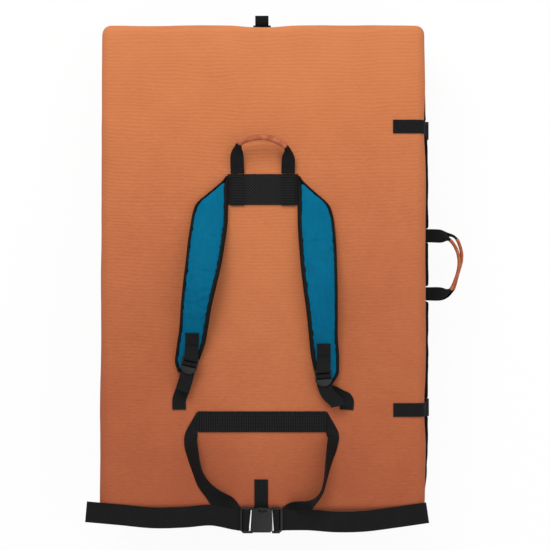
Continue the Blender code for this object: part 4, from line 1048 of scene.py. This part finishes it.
def makeStrapBinding(side, line):
    stations = [k / 60 for k in range(61)]
    path = [(share, -1, strapForm["innerTape"]) for share in stations]
    path += [(share, 1, strapForm["outerTape"]) for share in reversed(stations)]
    rings = []
    for share, across, wide in path:
        wide = min(wide, line.width(share) * 0.48)
        edge = line.point(share, across, strapForm["tapeLevel"])
        inward = (line.point(share, -across, strapForm["tapeLevel"]) - edge).normalized()
        rings.append((edge + inward * wide / 2, inward, wide))
    marks = [0]
    for before, after in zip(rings, rings[1:]):
        marks.append(marks[-1] + (after[0] - before[0]).length)
    steps = len(rings) - 1
    data = makeGrid(12, steps)
    layer = data.loops.layers.uv.new("UVMap")
    spots = {}
    for vert in data.verts:
        k = round((vert.co.y + 1) / 2 * steps)
        centre, inward, wide = rings[k]
        turn = vert.co.x * math.pi
        spots[vert] = (vert.co.x * 0.009, marks[k])
        tall = strapForm["tapeTall"] + 0.00025 * wobble(marks[k] * 90, 2, 1)
        vert.co = centre - inward * (wide / 2 * math.cos(turn)) + up * (tall * math.sin(turn))
    setUvs(data, layer, spots)
    weld(data)
    bmesh.ops.holes_fill(data, edges=[e for e in data.edges if len(e.link_faces) == 1], sides=0)
    bmesh.ops.recalc_face_normals(data, faces=data.faces)
    finishPiece(f"{side}StrapBinding", data, bindingLook, "carry_half")


for side in sides:
    makeStrap(side)
print("shoulder straps ready")


# Webbing on the straps: sewn tab, load strand with its sewn end, and the free tail through the ladder lock.
# Each direction across starts with how many points take it
lockWebbing = {
    "left_strap_tab": {
        "acrosses": ((2, 0.998, -0.054, -0.02), (1, 0.989, -0.138, -0.045), (6, 0.974, -0.221, -0.03),
                     (1, 0.989, -0.138, -0.045)),
        "points": (
            (-127.6, -118.4, 216.2), (-127.8, -129.9, 212), (-128.4, -141.3, 208), (-129.5, -154.1, 204.1),
            (-130.1, -161.5, 203.4), (-131.4, -167.5, 202.7), (-131.6, -168.2, 208.8), (-130.2, -162.2, 209.6),
            (-129.5, -154.1, 207.9), (-128.4, -141.3, 210.2),
        ),
    },
    "right_strap_tab": {
        "acrosses": ((2, 1, 0, 0.018), (1, 1, 0.02, 0.018), (1, 0.999, 0.045, 0.018), (1, 0.997, 0.075, 0.018),
                     (2, 0.995, 0.096, 0.018), (1, 0.997, 0.075, 0.018), (1, 0.999, 0.045, 0.018), (1, 1, 0.02, 0.018)),
        "points": (
            (110.7, -137.6, 210.3), (110.9, -149.8, 207.6), (110.8, -162, 205.1), (110.6, -175.7, 202.4),
            (110.1, -183.6, 202.3), (109.9, -189.8, 201.9), (109.9, -190.2, 208), (110.1, -184, 208.5),
            (110.6, -175.7, 206.2), (110.8, -162, 207.3),
        ),
    },
    "left_adjuster": {
        "acrosses": ((2, 0.975, -0.221, 0), (1, 0.989, -0.145, 0), (1, 0.998, -0.067, 0), (2, 1, 0, 0.014)),
        "points": (
            (-132.6, -172.6, 200.7), (-137, -192.2, 198.4), (-142.6, -209.2, 190.4), (-148.2, -226.3, 184.7),
            (-153, -241, 182.8), (-153, -259, 182.6),
        ),
    },
    "right_adjuster": {
        "acrosses": ((2, 0.996, 0.094, 0), (1, 0.998, 0.061, 0), (1, 1, 0.028, 0), (2, 1, 0, -0.014)),
        "points": (
            (110.4, -195, 200.1), (112.3, -215.1, 198.6), (126.5, -224.1, 190.5), (140.8, -233.2, 184.7),
            (153, -241, 182.8), (153, -259, 182.6),
        ),
    },
    "left_adjuster_tail": {
        "acrosses": ((6, 0.975, -0.221, 0), (1, 0.96, -0.28, 0), (1, 0.948, -0.318, 0)),
        "points": (
            (-132.4, -171.7, 202.7), (-132.5, -172.3, 207.9), (-133.7, -177.4, 207.3), (-133.5, -176.8, 202.1),
            (-137.1, -192.4, 200.2), (-139.9, -203.8, 200), (-143.3, -215.2, 199.7), (-146.5, -224.9, 199.5),
        ),
    },
    "right_adjuster_tail": {
        "acrosses": ((5, 0.996, 0.094, 0), (1, 0.95, 0.3, 0), (1, 0.86, 0.5, 0), (1, 0.9, 0.4, 0), (1, 0.98, 0.2, 0)),
        "points": (
            (110.3, -194.1, 202.1), (110.3, -194.4, 207.2), (110.8, -199.6, 206.9), (110.8, -199.2, 201.7),
            (112.3, -215.2, 200.5), (118.5, -229, 200.5), (128, -238.5, 200.5), (134.5, -245, 200.4),
            (136.2, -252, 200.4),
        ),
    },
}
for node, shape in lockWebbing.items():
    acrosses = [across for count, *across in shape["acrosses"] for k in range(count)]
    rows = [(*point, *across, 25) for point, across in zip(shape["points"], acrosses)]
    web = Web(rows, closure["thick"], 0.0022)
    side, *words, kind = node.split("_")
    body = f"{side}_lock" if kind == "tail" else "carry_half"
    makeWeb(node, web, webbingLook, body)
    if kind == "tab":
        sewTack(carryThread, web, web.length - 0.0125, 0.0102, 4, 0.0028)
        sewBox(carryThread, web, 0.002, 0.016, 0.01)
    if kind == "adjuster":
        sewBox(carryThread, web, web.length - 0.0165, web.length - 0.0015, 0.01)
    if kind == "tail":
        thread = bmesh.new()
        sewTack(thread, web, web.length - 0.0035, 0.0105)
        finishPiece(pieceName(f"{node}_stitches"), thread, threadLook, body)

for side in sides:
    makeMoulded(f"{side}_ladder_lock", f"{side}_lock", 0.0011, 3)
print("ladder locks ready")


# Waist belt: band sewn across the face, then a leg, a turn through the buckle and a free tail on each side.
# A point of three numbers lies flat, at full width
belt = {
    "thick": 0.0018, "width": 38, "hem": 0.0165, "barHalf": 0.015,
    "left_belt_webbing": (
        (-119.3, -263.8, 183.1, 1, 0, 0.011, 3), (-129.9, -301, 182.4, 1, 0, 0, 22),
        (-132, -314.1, 189.1, 0.857, 0.025, 0.514, 26.6), (-129, -332.1, 195.2, 0.652, 0.152, 0.743, 35.8),
        (-119, -369.9, 197.7, 0.481, 0.17, 0.86, 38), (-107, -394.5, 195.8, 0.514, 0.346, 0.785, 38),
        (-90, -413.1, 193.1, 0.537, 0.524, 0.661, 38), (-77.8, -424.4, 187.8, 0.623, 0.677, 0.392, 38),
        (-64.8, -436.2, 180.2, 0.704, 0.711, 0, 38), (-45.8, -460, 181.5), (-25.6, -460, 181.5, 0.097, 1, 0, 38),
        (-25.6, -460, 190, 0.097, 1, 0, 38), (-34.8, -460, 190), (-34.8, -460, 183.6), (-45.8, -460, 183.6),
        (-93, -451.5, 183.6), (-143, -455.2, 183.2), (-198.5, -456.7, 182.6), (-262.4, -451, 181.9),
        (-323.5, -445.7, 181.3),
    ),
    "right_belt_webbing": (
        (116.7, -263.8, 183.1, -1, 0, 0.01, 3), (126.8, -301, 182.5, -1, 0, 0, 22),
        (128.5, -310.9, 189.7, -0.787, 0.058, 0.615, 24.1), (124.5, -332.1, 197.2, -0.489, 0.098, 0.867, 35),
        (119.5, -356.1, 199.7, -0.294, 0.058, 0.954, 38), (113.5, -387.9, 199.8, -0.146, 0.034, 0.989, 38),
        (107.5, -407.9, 199.4, -0.154, 0.072, 0.985, 38), (98, -421, 198.7, -0.194, 0.188, 0.963, 38),
        (87.1, -428.9, 197.2, -0.238, 0.382, 0.893, 38), (76, -434.7, 193.4, -0.347, 0.631, 0.694, 38),
        (64.9, -441.2, 186.7, -0.496, 0.798, 0.341, 38), (53.7, -448.5, 180.2, -0.549, 0.836, 0, 38),
        (40.2, -460, 181.5), (20.5, -460, 181.5, -0.06, 1, 0, 38), (20.5, -460, 190, -0.06, 1, 0, 38),
        (29.2, -460, 190), (29.2, -460, 183.6), (40.2, -460, 183.6), (84.5, -460, 183.6), (131.5, -463.4, 183.2),
        (183.6, -462.5, 182.6), (243.6, -455, 181.9), (301, -446.7, 181.3),
    ),
    "band": (-118.8, 116.2, -281.0), "bandLift": 1.2, "barGap": 0.0043,
}
left, right, bandY = belt["band"]
bandXs = [left + (right - left) * k / 8 for k in range(9)]
bandWeb = Web([faceRow(x, bandY, (0, 1, 0.015), belt["width"], belt["bandLift"]) for x in bandXs], belt["thick"])
makeWeb("waist_band", bandWeb, bandLook, "carry_half", cells=8)
for aside in (-belt["hem"], belt["hem"]):
    sewAlong(carryThread, bandWeb, [(0.004, aside), (bandWeb.length - 0.004, aside)], 0.0034)
for k in range(int((bandWeb.length - 0.014) / belt["barGap"])):
    spot = 0.012 + k * belt["barGap"]
    sewAlong(carryThread, bandWeb, [(spot, -belt["barHalf"]), (spot, belt["barHalf"])], 0.006, stitch["tackFat"])
for side in sides:
    node = f"{side}_belt_webbing"
    rows = [point if len(point) == 7 else (*point, 0, 1, 0, belt["width"]) for point in belt[node]]
    web = Web(rows, belt["thick"], 0.0035, out=up)
    makeWeb(node, web, beltLook, "carry_half", cells=8)
    sewTack(carryThread, web, web.length - 0.004, 0.017)
print("belt ready")

for part in ("socket", "plug"):
    makeMoulded(f"waist_buckle_{part}", "carry_half", 0.0009, 3, buckle[part])
for node in ("waist_prong_upper", "waist_prong_lower"):
    makeMoulded(node, node, 0.0009, 3)


# Thumb recess in the upper edge of the waist buckle: a floor darkened with painted shade, and the raised lip round it
recess = {"place": (-0.0005, -0.4424, 0.1929), "half": (0.0078, 0.0033), "lip": 0.00055, "floorThick": 0.0003}


def makeRecess():
    data = bmesh.new()
    bmesh.ops.create_circle(data, cap_ends=True, segments=32, radius=1)
    bmesh.ops.scale(data, verts=data.verts, vec=(*recess["half"], 1))
    bmesh.ops.translate(data, verts=data.verts, vec=recess["place"])
    thicken(finishPiece("buckleRecess", data, recessShadeLook, "carry_half"), recess["floorThick"])
    data = makeGrid(48, 8, math.pi)
    for vert in data.verts:
        turn, roll = vert.co.x, vert.co.y
        wide, tall = (half + recess["lip"] * math.cos(roll) for half in recess["half"])
        ring = Vector((wide * math.cos(turn), tall * math.sin(turn), recess["lip"] * math.sin(roll)))
        vert.co = Vector(recess["place"]) + ring
    weld(data, 1e-6)
    bmesh.ops.recalc_face_normals(data, faces=data.faces)
    finishPiece("buckleRecessLip", data, plasticLook, "carry_half")


makeRecess()
print("waist buckle ready")

for prefix, thread in seamThreads.items():
    finishPiece(f"{prefix}Stitches", thread, threadLook, f"{prefix}_half")


# Studio: pale floor, soft light from above the top left, camera nearly straight above
studio = {
    "aim": (0.0222, -0.0126, 0.18), "distance": 3.4, "tiltDown": 0.8, "tiltRight": 0.5, "lens": 121.5,
    "floor": 40.0, "floorZ": -0.0003, "floorTone": 0.95, "floorGlow": 0.93, "world": 0.5, "lampAim": (0, 0, 0.1),
    "lamps": {"keyLamp": ((-0.6, 1.9, 2.5), 1.6, 53), "fillLamp": ((1.1, -0.6, 2.2), 2.2, 15)},
}


def makeFloor():
    data = makeGrid(1, 1, studio["floor"] / 2)
    bmesh.ops.translate(data, verts=data.verts, vec=(0, 0, studio["floorZ"]))
    look = Look("studioFloor", "", 0.9, specular=0.1)
    look.shader.inputs["Base Color"].default_value = (*(studio["floorTone"],) * 3, 1)
    path = look.tree.nodes.new("ShaderNodeLightPath")
    rays = [Wire(look, path.outputs[f"Is {ray} Ray"]) for ray in ("Camera", "Glossy", "Transmission")]
    share = (rays[0] + rays[1] + rays[2]) * studio["floorGlow"]
    glow = look.add("ShaderNodeEmission", {}, {})
    surface = Wire(look, look.shader.outputs["BSDF"])
    blend = look.add("ShaderNodeMixShader", {}, {"Fac": share, 1: surface, 2: glow})
    look.tree.links.new(blend.socket, look.tree.nodes["Material Output"].inputs["Surface"])
    makeObject("studioFloor", data, look)


def addLamp(name, place, size, power):
    lamp = bpy.data.lights.new(name, "AREA")
    lamp.size = size
    lamp.energy = power
    item = addObject(name, lamp)
    item.location = place
    item.rotation_euler = (Vector(studio["lampAim"]) - Vector(place)).to_track_quat("-Z", "Y").to_euler()


makeFloor()
for name, values in studio["lamps"].items():
    addLamp(name, *values)

scene = bpy.context.scene
world = bpy.data.worlds.new("studioWorld")
world.use_nodes = True
sky = world.node_tree.nodes["Background"].inputs
sky["Color"].default_value = (1, 1, 1, 1)
sky["Strength"].default_value = studio["world"]
scene.world = world
scene.view_settings.view_transform = "Standard"

view = bpy.data.cameras.new("camera")
view.lens = studio["lens"]
view.sensor_width = 36
camera = addObject("camera", view)
right, down = (math.radians(studio[key]) for key in ("tiltRight", "tiltDown"))
turn = Matrix.Rotation(right, 4, "Y") @ Matrix.Rotation(down, 4, "X")
camera.matrix_world = Matrix.Translation(studio["aim"]) @ turn @ Matrix.Translation((0, 0, studio["distance"]))
scene.camera = camera
print("studio ready")
